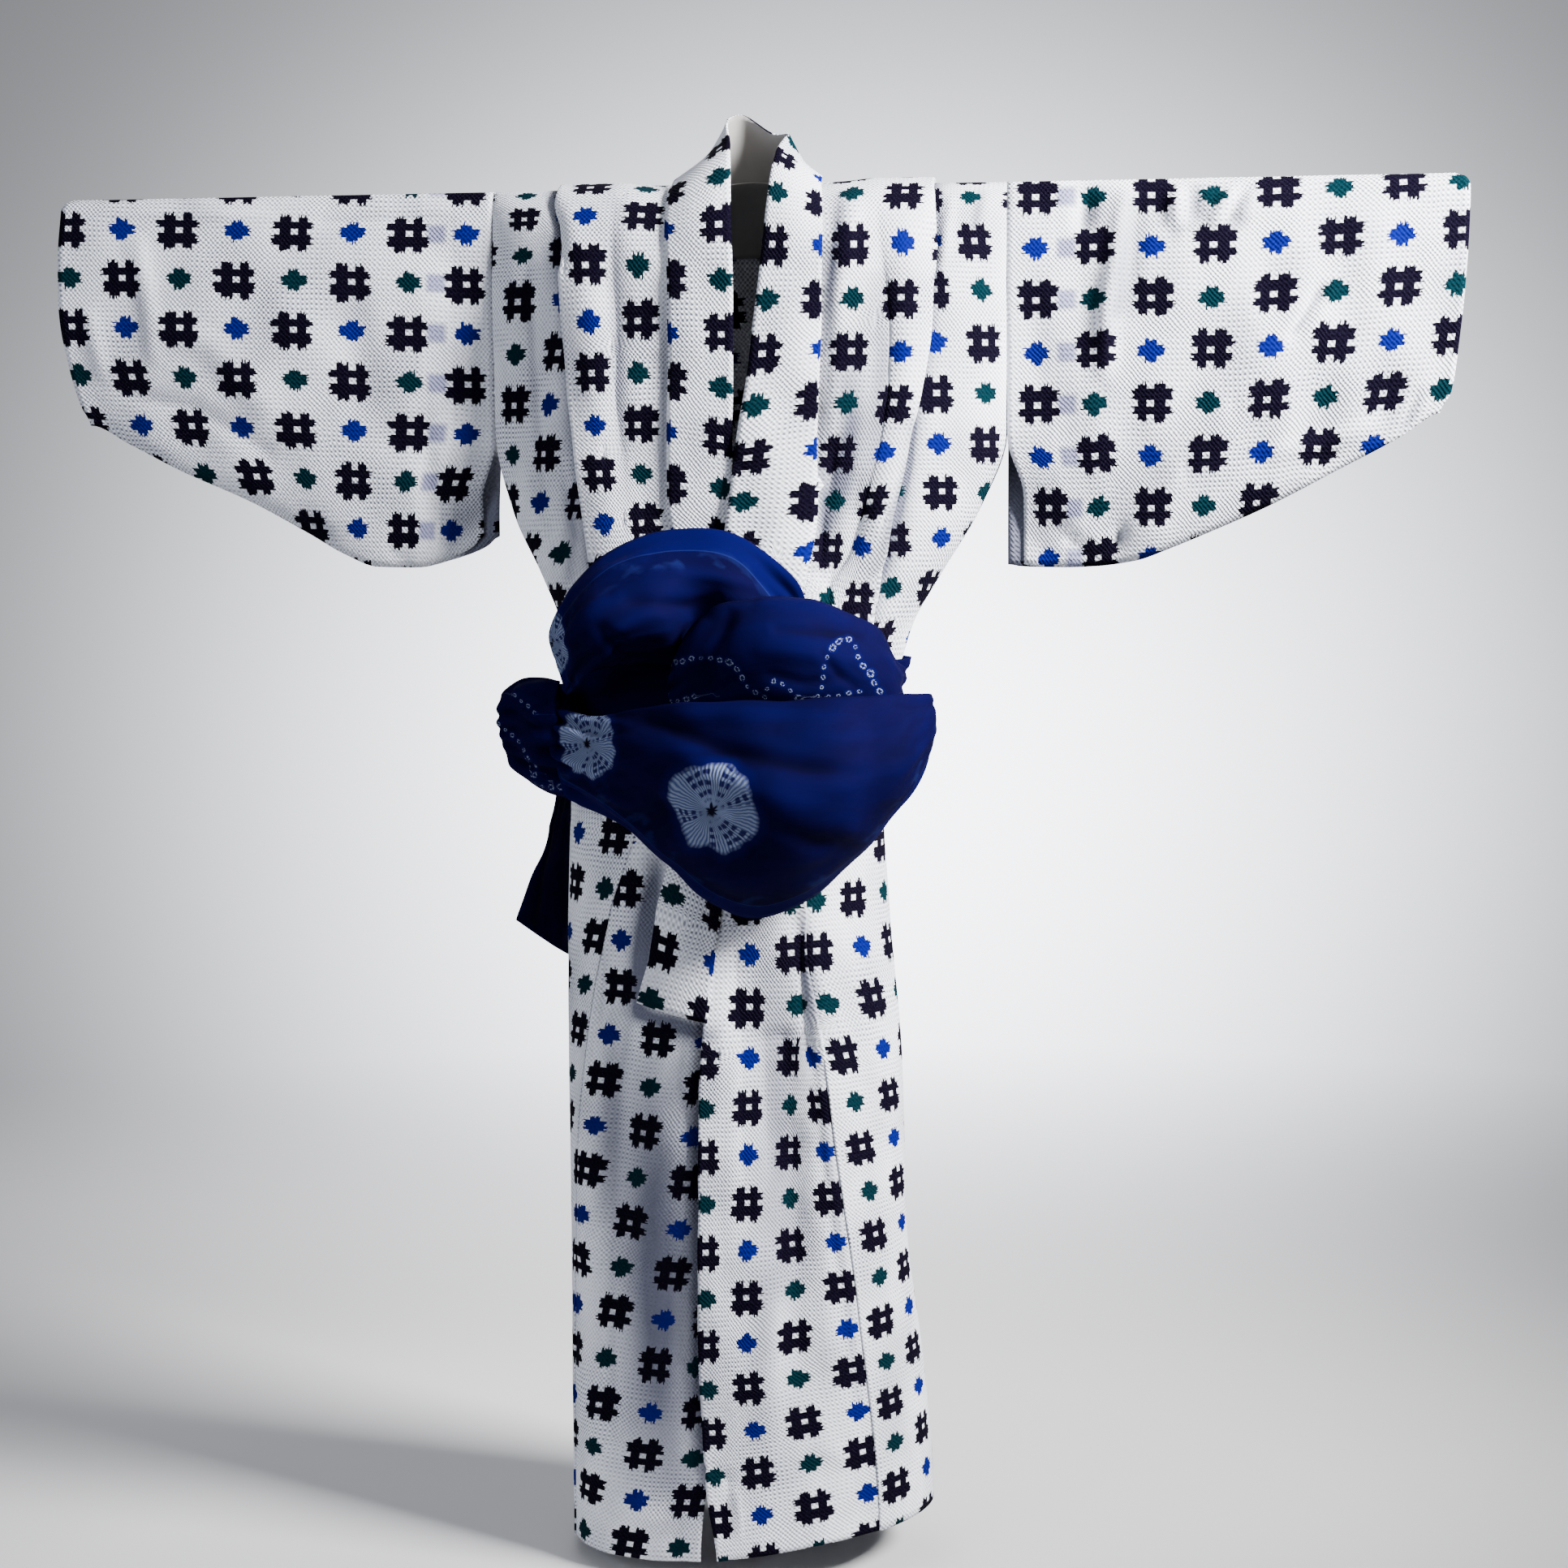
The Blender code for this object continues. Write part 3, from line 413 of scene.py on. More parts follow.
FRONT_EDGE_LEFT = seam_path(
    (0, 62), (-100, 67), (-280, 64), (-400, 56), (-560, 50), (-667, 54), (-813, 73), (-907, 84), (-1052, 101),
    (-1290, 121)
)
FRONT_EDGE_RIGHT = seam_path(
    (0, -62), (-100, -55), (-280, -58), (-400, -70), (-591, -100), (-686, -132), (-800, -154), (-908, -166),
    (-1100, -172.5), (-1290, -174.5)
)
OVER_EDGE = seam_path(
    (-300, 50), (-400, 38), (-500, 18), (-600, -4), (-690, -22), (-752, -32.5), (-900, -40), (-1050, -40),
    (-1200, -35), (-1290, -24)
)
UNDER_EDGE = seam_path(
    (-300, -46), (-400, -30), (-500, -14), (-600, -4), (-752, 4), (-900, -8), (-1050, -18), (-1180, -30),
    (-1290, -40)
)
# The side seams, in degrees from the front middle.
SIDE_LEFT = [
    Seam(0.000, 90.0), Seam(-0.420, 90.0), Seam(-0.600, 104.0), Seam(-0.900, 112.0), Seam(-1.290, 116.0),
]
SIDE_RIGHT = [
    Seam(0.000, 90.0), Seam(-0.420, 90.0), Seam(-0.600, 108.0), Seam(-0.900, 122.0), Seam(-1.290, 130.0),
]
Tuck = namedtuple("Tuck", "z left right hides")
TUCKS = [
    Tuck(0.000, 0.172, -0.174, TUCK_HIDES), Tuck(-0.060, 0.171, -0.166, TUCK_HIDES),
    Tuck(-0.130, 0.167, -0.160, TUCK_HIDES), Tuck(-0.222, 0.154, -0.153, 0.040),
    Tuck(-0.290, 0.138, -0.144, 0.036), Tuck(-0.350, 0.125, -0.136, 0.030),
    Tuck(-0.450, 0.105, -0.124, 0.018), Tuck(-0.560, 0.096, -0.128, 0.006),
    Tuck(-0.600, 0.094, -0.134, 0.0),
]
TUCK_ENDS, FULL_TUCK, NARROWEST = -0.590, 0.012, 0.12
NECKLINE = [Seam(0.000, 0.062), Seam(0.004, 0.054), Seam(0.009, 0.036), Seam(0.0115, 0.0)]
Stack = namedtuple("Stack", "z layers")
OVER_STACK = [
    Stack(-0.200, 0.0), Stack(-0.300, 2.3), Stack(-0.780, 2.5), Stack(-0.860, 1.15), Stack(-1.300, 1.15),
]
STACK_FADES = 0.050  # the lift over other layers fades out this far from the panel's seam


# %% Curves through a table
def smooth(keys, values, key):
    """A smooth curve through the values, which never swings past them."""
    keys, values = np.asarray(keys, float), np.asarray(values, float)
    if keys[0] > keys[-1]:
        keys, values = keys[::-1], values[::-1]
    span = np.diff(keys)
    slopes = np.diff(values) / span
    tangent = np.zeros(len(keys))
    before, after = slopes[:-1], slopes[1:]
    same = before * after > 0
    tangent[1:-1][same] = 2 * before[same] * after[same] / (before[same] + after[same])
    key = np.clip(key, keys[0], keys[-1])
    i = np.clip(np.searchsorted(keys, key, side="right") - 1, 0, len(slopes) - 1)
    t = (key - keys[i]) / span[i]
    rise = values[i + 1] - values[i]
    start, end = tangent[i] * span[i], tangent[i + 1] * span[i]
    return values[i] + t * start + t * t * (3 * rise - 2 * start - end) + t**3 * (start + end - 2 * rise)


def read(table, column, key):
    return smooth([row[0] for row in table], [getattr(row, column) for row in table], key)


def ease(value, start, end):
    """0 before start, 1 after end, and a soft step between."""
    t = np.clip((value - start) / (end - start), 0.0, 1.0)
    return t * t * (3 - 2 * t)


def mix(a, b, share):
    return a + (b - a) * share


# %% A place on the form
TURN = SHOULDER_ROUND * math.pi / 2


def level(length):
    """Height and share of the full depth at a length of cloth from the shoulder line."""
    length = np.abs(length)
    turn = np.minimum(length, TURN) / SHOULDER_ROUND
    z = -SHOULDER_ROUND * (1 - np.cos(turn)) - np.maximum(length - TURN, 0.0)
    return z, np.sin(turn)


def length_at(z, side):
    z = np.asarray(z, float)
    over = SHOULDER_ROUND * np.arccos(np.clip(1 + z / SHOULDER_ROUND, -1, 1))
    return side * np.where(z < -SHOULDER_ROUND, TURN - SHOULDER_ROUND - z, over)


def off_path(x, z, path):
    """Distance from a path through (x, z), and the share of the way along it."""
    points = np.array(path, float)
    steps = np.linalg.norm(np.diff(points, axis=0), axis=1)
    starts = np.concatenate([[0], np.cumsum(steps)])
    best = np.full(np.shape(x), 9.0)
    along = np.zeros(np.shape(x))
    for a, b, start, step in zip(points, points[1:], starts, steps):
        way = np.clip(((x - a[0]) * (b[0] - a[0]) + (z - a[1]) * (b[1] - a[1])) / step**2, 0, 1)
        off = np.hypot(x - mix(a[0], b[0], way), z - mix(a[1], b[1], way))
        nearer = off < best
        best, along = np.where(nearer, off, best), np.where(nearer, start + way * step, along)
    return best, along / starts[-1]


def creased(x, z, table, side=None, pressed=False):
    """How far a table of creases moves the cloth at a place. Each fades out towards its ends."""
    out = np.zeros(np.shape(x))
    for crease in table:
        if side is not None and crease.side != side:
            continue
        off, way = off_path(x, z, crease.path)
        fade = np.sqrt(np.clip(np.sin(math.pi * np.clip(way, 0, 1)), 0, 1))
        fade = np.where(off > 4 * crease.wide, 0, fade)
        edge = np.hypot(off, PRESSED_EDGE) - PRESSED_EDGE
        shape = np.exp(-edge / crease.wide) if pressed else np.exp(-((off / crease.wide) ** 2))
        out = out + crease.deep * fade * shape
    return out


def waver(x, z, size, seed):
    """A soft unevenness of about 1, with hills about this size across."""
    chance = np.random.default_rng(seed)
    out = np.zeros(np.shape(x))
    for _ in range(7):
        way, pace, shift = chance.uniform(0, math.pi), chance.uniform(0.7, 1.5), chance.uniform(0, 6.3)
        out = out + np.sin((x * math.cos(way) + z * math.sin(way)) * pace * math.pi / size + shift)
    return out / 2.6


UNEVEN, UNEVEN_HILLS = 0.0009, 0.045  # the cloth's own unevenness, and the size of its hills


def relief(x, z, facing):
    """The long folds, the creases and the cloth's own unevenness, out of the form."""
    out = np.zeros(np.shape(x))
    for side in (FRONT, BACK):
        here = np.zeros(np.shape(x))
        for fold in FOLDS:
            if fold.side == side:
                way = (z - fold.z_top) / (fold.z_bottom - fold.z_top)
                off = (x - mix(fold.x_top, fold.x_bottom, way)) / fold.wide
                fade = ease(way, 0, 0.2) * (1 - ease(way, 0.65, 1.0) if side == FRONT else 1.0)
                here += np.where((way > 0) & (way < 1), fold.deep * fade * np.exp(-off * off), 0)
        here += creased(x, z, CREASES, side) + creased(x, z, PRESSED, side, pressed=True)
        here += UNEVEN * waver(x * 1.6, z, UNEVEN_HILLS, 3 + side) * ease(np.abs(z), 0.0, 0.05)
        out = np.where(facing == side, here, out)
    return out


def ring_place(angle, length):
    """The form: angle from the middle of the side that the length is on."""
    angle, length = np.broadcast_arrays(np.asarray(angle, float), np.asarray(length, float))
    z, share = level(length)
    side = np.where(length < 0, FRONT, BACK)
    left, right = read(SECTIONS, "left", z), read(SECTIONS, "right", z)
    x = (left + right) / 2 + (left - right) / 2 * np.sin(angle)
    facing = np.where(np.cos(angle) >= 0, side, -side)
    depth = np.where(facing == FRONT, read(SECTIONS, "front", z), read(SECTIONS, "back", z))
    opening, power = read(SECTIONS, "open", z), read(SECTIONS, "power", z)
    y = facing * (opening + (depth - opening) * np.abs(np.cos(angle)) ** power) * share
    raised = NECK_RISE * np.exp(-((x / NECK_WIDE) ** 2)) * ease(-length, -0.16, -0.02)
    z = z + np.where(side == BACK, raised, 0)
    y = y + facing * relief(x, z, facing)
    z = z + HEM_RISE * ease(x, -0.22, 0.24) * ease(-z, 0.80, 1.28)
    return np.stack([x, y, z], -1)


def on_form(angle, length, lift=0.0):
    """A place on the form, moved out along its normal."""
    angle, length = np.broadcast_arrays(np.asarray(angle, float), np.asarray(length, float))
    place = ring_place(angle, length)
    step, side = 1e-4, np.where(length < 0, FRONT, BACK)
    across = ring_place(angle + step, length) - ring_place(angle - step, length)
    down = ring_place(angle, length + side * 2 * step) - ring_place(angle, length + side * step)
    normal = np.cross(across, down)
    normal /= np.maximum(np.linalg.norm(normal, axis=-1, keepdims=True), 1e-12)
    return place + normal * side[..., None] * np.asarray(lift)[..., None]


def angle_of(x, length):
    z = level(length)[0]
    left, right = read(SECTIONS, "left", z), read(SECTIONS, "right", z)
    return np.arcsin(np.clip((x - (left + right) / 2) / ((left - right) / 2), -1, 1))


def seam_angle(table, length):
    return angle_of(read(table, "x", level(length)[0]), length)


def gap_angle(angle, length):
    """Half of a seam's gap, as an angle on the ring at a place."""
    step = 1e-3
    travel = np.linalg.norm(ring_place(angle + step, length) - ring_place(angle - step, length), axis=-1)
    return SEAM_GAP / 2 / np.maximum(travel / (2 * step), 0.05)


print("the hem is", round(float(-ring_place(0.0, length_at(HEM, FRONT))[2]), 3), "m below the shoulder line")

# %% [markdown]
# ## Weaving a sheet
# A sheet is a grid of places with its cloth coordinates beside it. Three maps go on it. One says where on
# the printed bolt each place came from, in columns and rows of the print, so the print bends and hides in
# folds as cloth does. One says how high each place lies in its folds, and how much painted shade is laid
# there. The last lays the sheet out flat and untouched, for when the finish is baked.


# %% Grid to cloth
FOLD_SMOOTH, FOLD_DEPTH = 30, 0.0024  # rounds of smoothing, and the height that counts as a full fold
SAME_PLACE = 2e-5  # corners closer together than this are joined


def fold_map(places, closed):
    """Where the cloth lies higher than round it: 0 deep in a fold, 1 on a ridge."""
    soft = places.copy()
    for _ in range(FOLD_SMOOTH):
        if closed:
            soft = (np.roll(soft, 1, 1) + 2 * soft + np.roll(soft, -1, 1)) / 4
        else:
            soft[:, 1:-1] = (soft[:, :-2] + 2 * soft[:, 1:-1] + soft[:, 2:]) / 4
    out = np.cross(np.gradient(soft, axis=1), np.gradient(soft, axis=0))
    out /= np.linalg.norm(out, axis=-1, keepdims=True) + 1e-12
    centre = places.reshape(-1, 3).mean(0)
    facing = np.sign(((soft - centre) * out).sum(-1).mean()) or 1.0
    height = ((places - soft) * out).sum(-1) * facing
    return np.clip(0.5 + height / FOLD_DEPTH / 2, 0, 1)


def cloth(name, places, prints, wall, finish, closed=False, maps=None, inside=None, shade=None):
    """A thin sheet through a grid of places, printed by its second grid and given its wall by Solidify.
    A further map is a stack of grids, of which each face takes the one that lies nearest to zero there. In a
    chain the first number is a length along it, so only the second one counts."""
    rows, columns = places.shape[:2]
    if closed:  # the first column is repeated, so the maps don't run backwards across the join
        places = np.concatenate([places, places[:, :1]], 1)
        columns += 1
    count = rows * columns
    index = np.arange(count).reshape(rows, columns)
    corners = np.stack([index[:-1, :-1], index[1:, :-1], index[1:, 1:], index[:-1, 1:]], -1).reshape(-1, 4)
    mesh = bpy.data.meshes.new(name)
    mesh.from_pydata(places.reshape(-1, 3).tolist(), [], corners.tolist())
    flat_row, flat_column = np.divmod(corners.reshape(-1), columns)
    flat = np.stack([flat_column / (columns - 1), flat_row / (rows - 1)], -1) * 0.98 + 0.01
    folds = fold_map(places, closed)
    if closed:
        folds = np.concatenate([folds, folds[:, :1]], 1)
    folds = np.stack([folds, 0 * folds if shade is None else shade.clip(0, 1)], -1)
    layers = {"print": prints.reshape(-1, 2)[corners.reshape(-1)], "OFBake": flat}
    layers["folds"] = folds.reshape(-1, 2)[corners.reshape(-1)]
    for title, stack in (maps or {}).items():
        stack = np.asarray(stack, float).reshape(len(stack), -1, 2)[:, corners]
        away = np.abs(stack[..., 1]).mean(-1)
        if title != "chain":
            away = away + np.abs(stack[..., 0]).mean(-1)
        layers[title] = stack[np.argmin(away, 0), np.arange(len(corners))].reshape(-1, 2)
    for title, values in layers.items():
        layer = mesh.uv_layers.new(name=title)
        layer.data.foreach_set("uv", values.astype(np.float32).reshape(-1))
    build = bmesh.new()
    build.from_mesh(mesh)
    bmesh.ops.remove_doubles(build, verts=build.verts, dist=SAME_PLACE)
    build.to_mesh(mesh)
    build.free()
    for look in (finish, inside):
        if look:
            mesh.materials.append(look.material)
    mesh.shade_smooth()
    piece = bpy.data.objects.new(name, mesh)
    bpy.context.scene.collection.objects.link(piece)
    solid = piece.modifiers.new("Wall", "SOLIDIFY")
    solid.thickness, solid.offset, solid.use_even_offset = wall, 0.0, False
    solid.material_offset = int(inside is not None)
    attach(piece, "root")
    return piece


def run(places, axis=1):
    """Length along a grid of places, from its first column or row."""
    steps = np.linalg.norm(np.diff(places, axis=axis), axis=-1)
    zero = np.zeros_like(np.take(steps, [0], axis=axis))
    return np.concatenate([zero, np.cumsum(steps, axis=axis)], axis=axis)


def facing_out(places, away):
    """Unit normals of a grid of places, turned away from a point."""
    normal = np.cross(np.gradient(places, axis=0), np.gradient(places, axis=1))
    normal /= np.maximum(np.linalg.norm(normal, axis=-1, keepdims=True), 1e-9)
    return normal * np.sign(((places - away) * normal).sum(-1).mean())


# %% [markdown]
# ## The printed cotton
# The bolt is printed with a well-curb grid, like two pairs of crossed rails, and small crosses between, in
# rows and columns that alternate. The edges copy ikat weaving: each bar ends in a brush of fine streaks,
# where dyed threads didn't line up. So a bar's end isn't cut straight, but moved by chance for every thread.
# The ground is ripple crepe: rows of small slanting blisters that catch the light,
# with painted shade in the hollows between them.

# %% The print and the blistered ground
ACROSS_MM, DOWN_MM = 53.0, 47.0  # from column to column and from row to row
DOUBLED_AT, SEEN_THROUGH = -1.53, (0.25, 0.255, 0.39)  # column where the sleeves are doubled, and its tint
THREAD_MM, FRAY_MM, SHAKE_MM = 1.3, 4.0, 0.5  # a streak's width and fray, and how far an edge wanders
SOFT_MM = 0.45  # an edge of the ink fades out over this
BLISTER_MM = (4.4, 4.8)  # from blister to blister, across and down
FULL_TURN = 6.2832
# WHITE is the cloth. SHADE is painted shade between the blisters; the grey after it is painted shade in
# folds, streaks and beside other layers
WHITE, SHADE, PAINTED_SHADE_GREY = (0.870, 0.890, 0.960), (0.13, 0.137, 0.185), (0.12, 0.126, 0.17)
GRID_INK, BLUE_INK, TEAL_INK = (0.0014, 0.0005, 0.0048), (0.0010, 0.0036, 0.100), (0.0003, 0.0120, 0.0170)
WORN_INK, WORN = (0.25, 0.25, 0.33), 0.12  # the ink is this much worn where it has worn at all
SOFT_PULL, FOLD_PULL, SHADE_PULL = 0.30, 0.55, 1.45  # how strongly each painted shade pulls the ground to PAINTED_SHADE_GREY
SMOOTHEST = 0.35  # share of the painted shade between the blisters that is left where the crepe lies smoothest

# Each bar, in mm from the motif's middle: from and to across the bar, then from and to along it.
UPRIGHT_RAILS = [((-14.2, -3.2), (-18.6, 21.1)), ((3.1, 11.8), (-18.6, 21.1))]
LEVEL_RAILS = [((-9.9, -2.5), (-22.9, 19.1)), ((2.8, 13.5), (-22.9, 19.1))]
CROSS_UPRIGHT, CROSS_LEVEL = ((-5.6, 5.6), (-12.4, 12.4)), ((-5.2, 5.2), (-13.9, 13.9))


def bar(look, off, way, size, cell):
    """A bar of the print: off is the place across it, way the place along it."""
    wide, ends = size
    thread = (off / THREAD_MM).sum("FLOOR")
    point = abs(off / THREAD_MM - thread - 0.5) * 1.6
    low = look.chance(thread, cell, 1.7) * FRAY_MM + point + ends[0]
    high = ends[1] - look.chance(thread, cell, 5.3) * FRAY_MM - point
    body = off.inside(wide[0], wide[1], SOFT_MM * 1.5)
    return body * way.above(low, SOFT_MM) * (1 - way.above(high, SOFT_MM))


def ripple(look, x, y):
    """Height of the blisters, 0 to 1, from coordinates in mm. In patches they join up in lines."""
    wander = look.cloud(x, y, 0.05, 1.0) * 4.0
    across = ((x + wander) * (FULL_TURN / BLISTER_MM[0])).sum("COSINE")
    lower = y + wander * 0.5 + look.cloud(x, y, 0.11, 1.0, z=9.0) * 2.4
    down = (lower * (FULL_TURN / BLISTER_MM[1])).sum("COSINE")
    ridge = look.cloud(x, y, 0.022, 1.0, z=4.0).above(0.46, 0.20)
    return mix(across * down, down * 0.7, ridge * 0.45) * 0.5 + 0.5


def printed_cotton(name, doubled=False):
    """The print. Where the cloth is doubled along a seam, a paler band shows with the print behind it."""
    look = Look(name, Roughness=0.95, Specular_IOR_Level=0.03)
    column, row = look.map("print")
    x, y = column * ACROSS_MM, row * DOWN_MM
    blisters = ripple(look, x, y)
    shake_x = look.cloud(x, y, 0.9, 1.0) - 0.5
    shake_y = look.cloud(x, y, 0.9, 1.0, z=7.0) - 0.5
    column, row = column + shake_x * (SHAKE_MM / ACROSS_MM), row + shake_y * (SHAKE_MM / DOWN_MM)
    i, j = nearest(column), nearest(row)
    dx, dy = (column - i) * ACROSS_MM, (row - j) * DOWN_MM
    cell = i * 0.731 + j * 1.37
    bars = [bar(look, dx, dy, size, cell + size[0][0]) for size in UPRIGHT_RAILS]
    bars += [bar(look, dy, dx, size, cell + size[0][0]) for size in LEVEL_RAILS]
    rails = reduce(either, bars)
    cross = either(bar(look, dx, dy, CROSS_UPRIGHT, cell), bar(look, dy, dx, CROSS_LEVEL, cell + 9.0))
    odd_column = abs(i - (i * 0.5).sum("FLOOR") * 2)
    odd_sum = abs((i + j) - ((i + j) * 0.5).sum("FLOOR") * 2)
    fleck = look.cloud(x, y, 1.6, 2.0)
    fold, shade = look.map("folds")
    # Painted shade between the blisters, stronger in some patches than in others
    blister_shade_share = look.cloud(x, y, 0.011, 2.0).above(0.50, 0.30) * (1 - SMOOTHEST) + SMOOTHEST
    ground = look.tint((1 - blisters.above(0.46, 0.55)) * blister_shade_share, WHITE, SHADE)
    # Painted shade: soft streaks of grey, the hollows of folds, and the shade map's rows
    soft = look.cloud(x, y * 0.4, 0.020, 1.0).above(0.62, 0.30)
    deep = (0.46 - fold).above(0.22, 0.44)
    for darker, strength in ((soft, SOFT_PULL), (deep, FOLD_PULL), (shade, SHADE_PULL)):
        ground = look.tint(darker * strength, ground, PAINTED_SHADE_GREY)
    if doubled:
        off = column - DOUBLED_AT
        ground = look.tint(off.inside(-0.27, 0.27, 0.06) * 0.35, ground, WHITE)
        behind = off.inside(-0.17, 0.17, 0.10) * dy.inside(-9.0, 9.0, 5.0)
        ground = look.tint(behind, ground, SEEN_THROUGH)
    small = look.tint(odd_column, TEAL_INK, BLUE_INK)
    ink = look.tint(odd_sum, GRID_INK, small)
    worn = look.tint(fleck.above(0.68, 0.2) * WORN, ink, WORN_INK)
    mask = mix(rails, cross, odd_sum)
    look.set("Base Color", look.tint(mask, ground, worn))
    look.set("Normal", look.bump(blisters, 0.0011, 1.0))
    return look


def plain_cotton(name, colour):
    """Unprinted, evenly woven cotton."""
    look = Look(name, Roughness=0.92, Specular_IOR_Level=0.12)
    column, row = look.map("print")
    x, y = column * ACROSS_MM, row * DOWN_MM
    weave = ((x * 7.0).sum("SINE") * (y * 7.0).sum("SINE")) * 0.5 + 0.5
    mottle = look.cloud(x, y, 0.12, 2.0)
    look.set("Base Color", look.tint(mottle * 0.5, colour, tuple(c * 0.88 for c in colour)))
    look.set("Normal", look.bump(weave, 0.0002, 0.5))
    return look


cotton = printed_cotton("printed_cotton")
sleeve_cotton = printed_cotton("printed_cotton_sleeves", doubled=True)
# The lining's dark grey is painted shade: the plain cloth is only seen inside the neck, in shadow
lining = plain_cotton("plain_cotton", (0.31, 0.30, 0.29))
print("the print's nodes:", len(cotton.tree.nodes))

# %% [markdown]
# ## Where the print falls
# On a real robe the maker follows the bolt: columns run down each strip and rows across it, shifted from
# piece to piece and hidden in part by every tuck. So each piece has a short table of where some columns run
# over it, as x at a height, and one of which row lies at a height. Between columns the cloth is read off
# along its surface, and past the last one it goes on at its real width.

# %% Columns and rows of each piece
ACROSS, DOWN = ACROSS_MM / 1000, DOWN_MM / 1000


def column_paths(paths):
    """Paths of the print's columns, each from (z, x) in mm."""
    return {column: [(z / 1000, x / 1000) for z, x in path] for column, path in paths.items()}


LEFT_ROWS = [
    (-0.015, 1), (-0.063, 2), (-0.158, 4), (-0.250, 6), (-0.335, 8), (-0.704, 16), (-0.803, 18),
    (-0.893, 20), (-0.985, 22), (-1.076, 24), (-1.161, 26), (-1.244, 28),
]
RIGHT_ROWS = [
    (-0.032, 2), (-0.128, 4), (-0.222, 6), (-0.311, 8), (-0.697, 16), (-0.788, 18), (-0.876, 20),
    (-0.965, 22), (-1.053, 24), (-1.144, 26), (-1.227, 28),
]
LEFT_FRONT = column_paths({
    2: [(-15, 101), (-63, 105), (-158, 103), (-250, 94), (-335, 84), (-710, 68), (-802, 93), (-895, 108),
        (-989, 120), (-1078, 127), (-1162, 136), (-1300, 141)],
    3: [(50, 149), (-158, 146), (-205, 140), (-250, 130), (-290, 119), (-335, 108), (-662, 99), (-704, 108),
        (-754, 122), (-799, 129), (-845, 133)],
})
LEFT_SIDE = column_paths({
    5: [(-10, 172), (-60, 175), (-198, 178), (-289, 182), (-335, 180), (-379, 165), (-430, 148), (-500, 135)],
    4: [(-250, 141), (-289, 139), (-335, 139), (-375, 135), (-450, 115)],
    6: [(50, 206), (-11, 206), (-54, 211), (-148, 221), (-239, 222), (-290, 224)],
})
RIGHT_FRONT = column_paths({
    -2: [(-10, -92), (-128, -93), (-222, -94), (-311, -90), (-656, -131), (-697, -142), (-744, -155),
         (-788, -164), (-860, -176), (-1300, -200)],
    -3: [(50, -145), (-10, -145), (-125, -138), (-214, -133), (-303, -125), (-370, -118)],
})
RIGHT_SIDE = column_paths({
    -5: [(-10, -168), (-112, -165), (-198, -181), (-241, -187), (-290, -190), (-337, -208), (-374, -222),
         (-500, -210)],
    -4: [(-250, -147), (-290, -153), (-337, -170), (-374, -182), (-440, -180)],
    -6: [(50, -206), (-58, -206), (-103, -212), (-196, -217), (-290, -219)],
})
OVER_PANEL = column_paths({
    1: [(-600, 12), (-716, 9), (-803, 6), (-890, 5), (-1072, 3), (-1159, 12), (-1300, 19)],
    0: [(-770, -36), (-817, -34), (-1077, -32), (-1121, -29), (-1208, -23), (-1340, -10)],
    2: [(-250, 42), (-600, 42), (-701, 44), (-760, 49), (-849, 44), (-939, 42), (-1032, 47), (-1081, 47),
        (-1124, 53), (-1168, 60), (-1340, 72)],
    3: [(-760, 54), (-800, 60), (-849, 68), (-942, 79), (-1034, 90), (-1124, 102), (-1211, 111),
        (-1340, 126)],
})
UNDER_PANEL = column_paths({
    0: [(-600, -60), (-784, -80), (-873, -94), (-964, -110), (-1055, -130), (-1144, -145), (-1188, -153),
        (-1300, -165)],
    -1: [(-740, -122), (-790, -131), (-880, -148), (-970, -164), (-1020, -172)],
    1: [(-250, 20), (-600, -7), (-907, -50), (-961, -58), (-1051, -73), (-1094, -83), (-1144, -88),
        (-1183, -97), (-1227, -102), (-1340, -122)],
    2: [(-1090, -36), (-1138, -42), (-1193, -48), (-1264, -61), (-1340, -74)],
})
SLEEVE_COLUMNS = {
    "left": column_paths({
        1: [(0, 267), (-340, 270)],
        3: [(0, 373), (-300, 372)],
        5: [(0, 487), (-100, 484), (-200, 478), (-340, 468)],
        7: [(0, 601), (-50, 600), (-150, 591), (-300, 570)],
    }),
    "right": column_paths({
        -1: [(0, -265), (-190, -265), (-340, -280)],
        -3: [(0, -375), (-340, -374)],
        -5: [(0, -486), (-218, -484), (-265, -472), (-340, -464)],
        -7: [(0, -600), (-120, -596), (-215, -584), (-300, -572)],
    }),
}
UPRIGHT, TURNED = 1, -1  # a piece cut the other way up has its print turned round


HEM_ROWS = 0.92  # below the last row in a table, rows lie this much closer together


def row_of(length, table):
    """Row of the print at a length down the front, negative, or on over the shoulder."""
    at = np.array([length_at(z, FRONT) for z, _ in table])[::-1]
    rows = np.array([float(j) for _, j in table])[::-1]
    value = np.interp(length, at, rows)
    value = value - np.maximum(length - at[-1], 0) / DOWN
    return value + np.maximum(at[0] - length, 0) / (DOWN * HEM_ROWS)


COLUMN_FADES = 0.035  # a column's own path gives way to the bolt's width this near to its ends


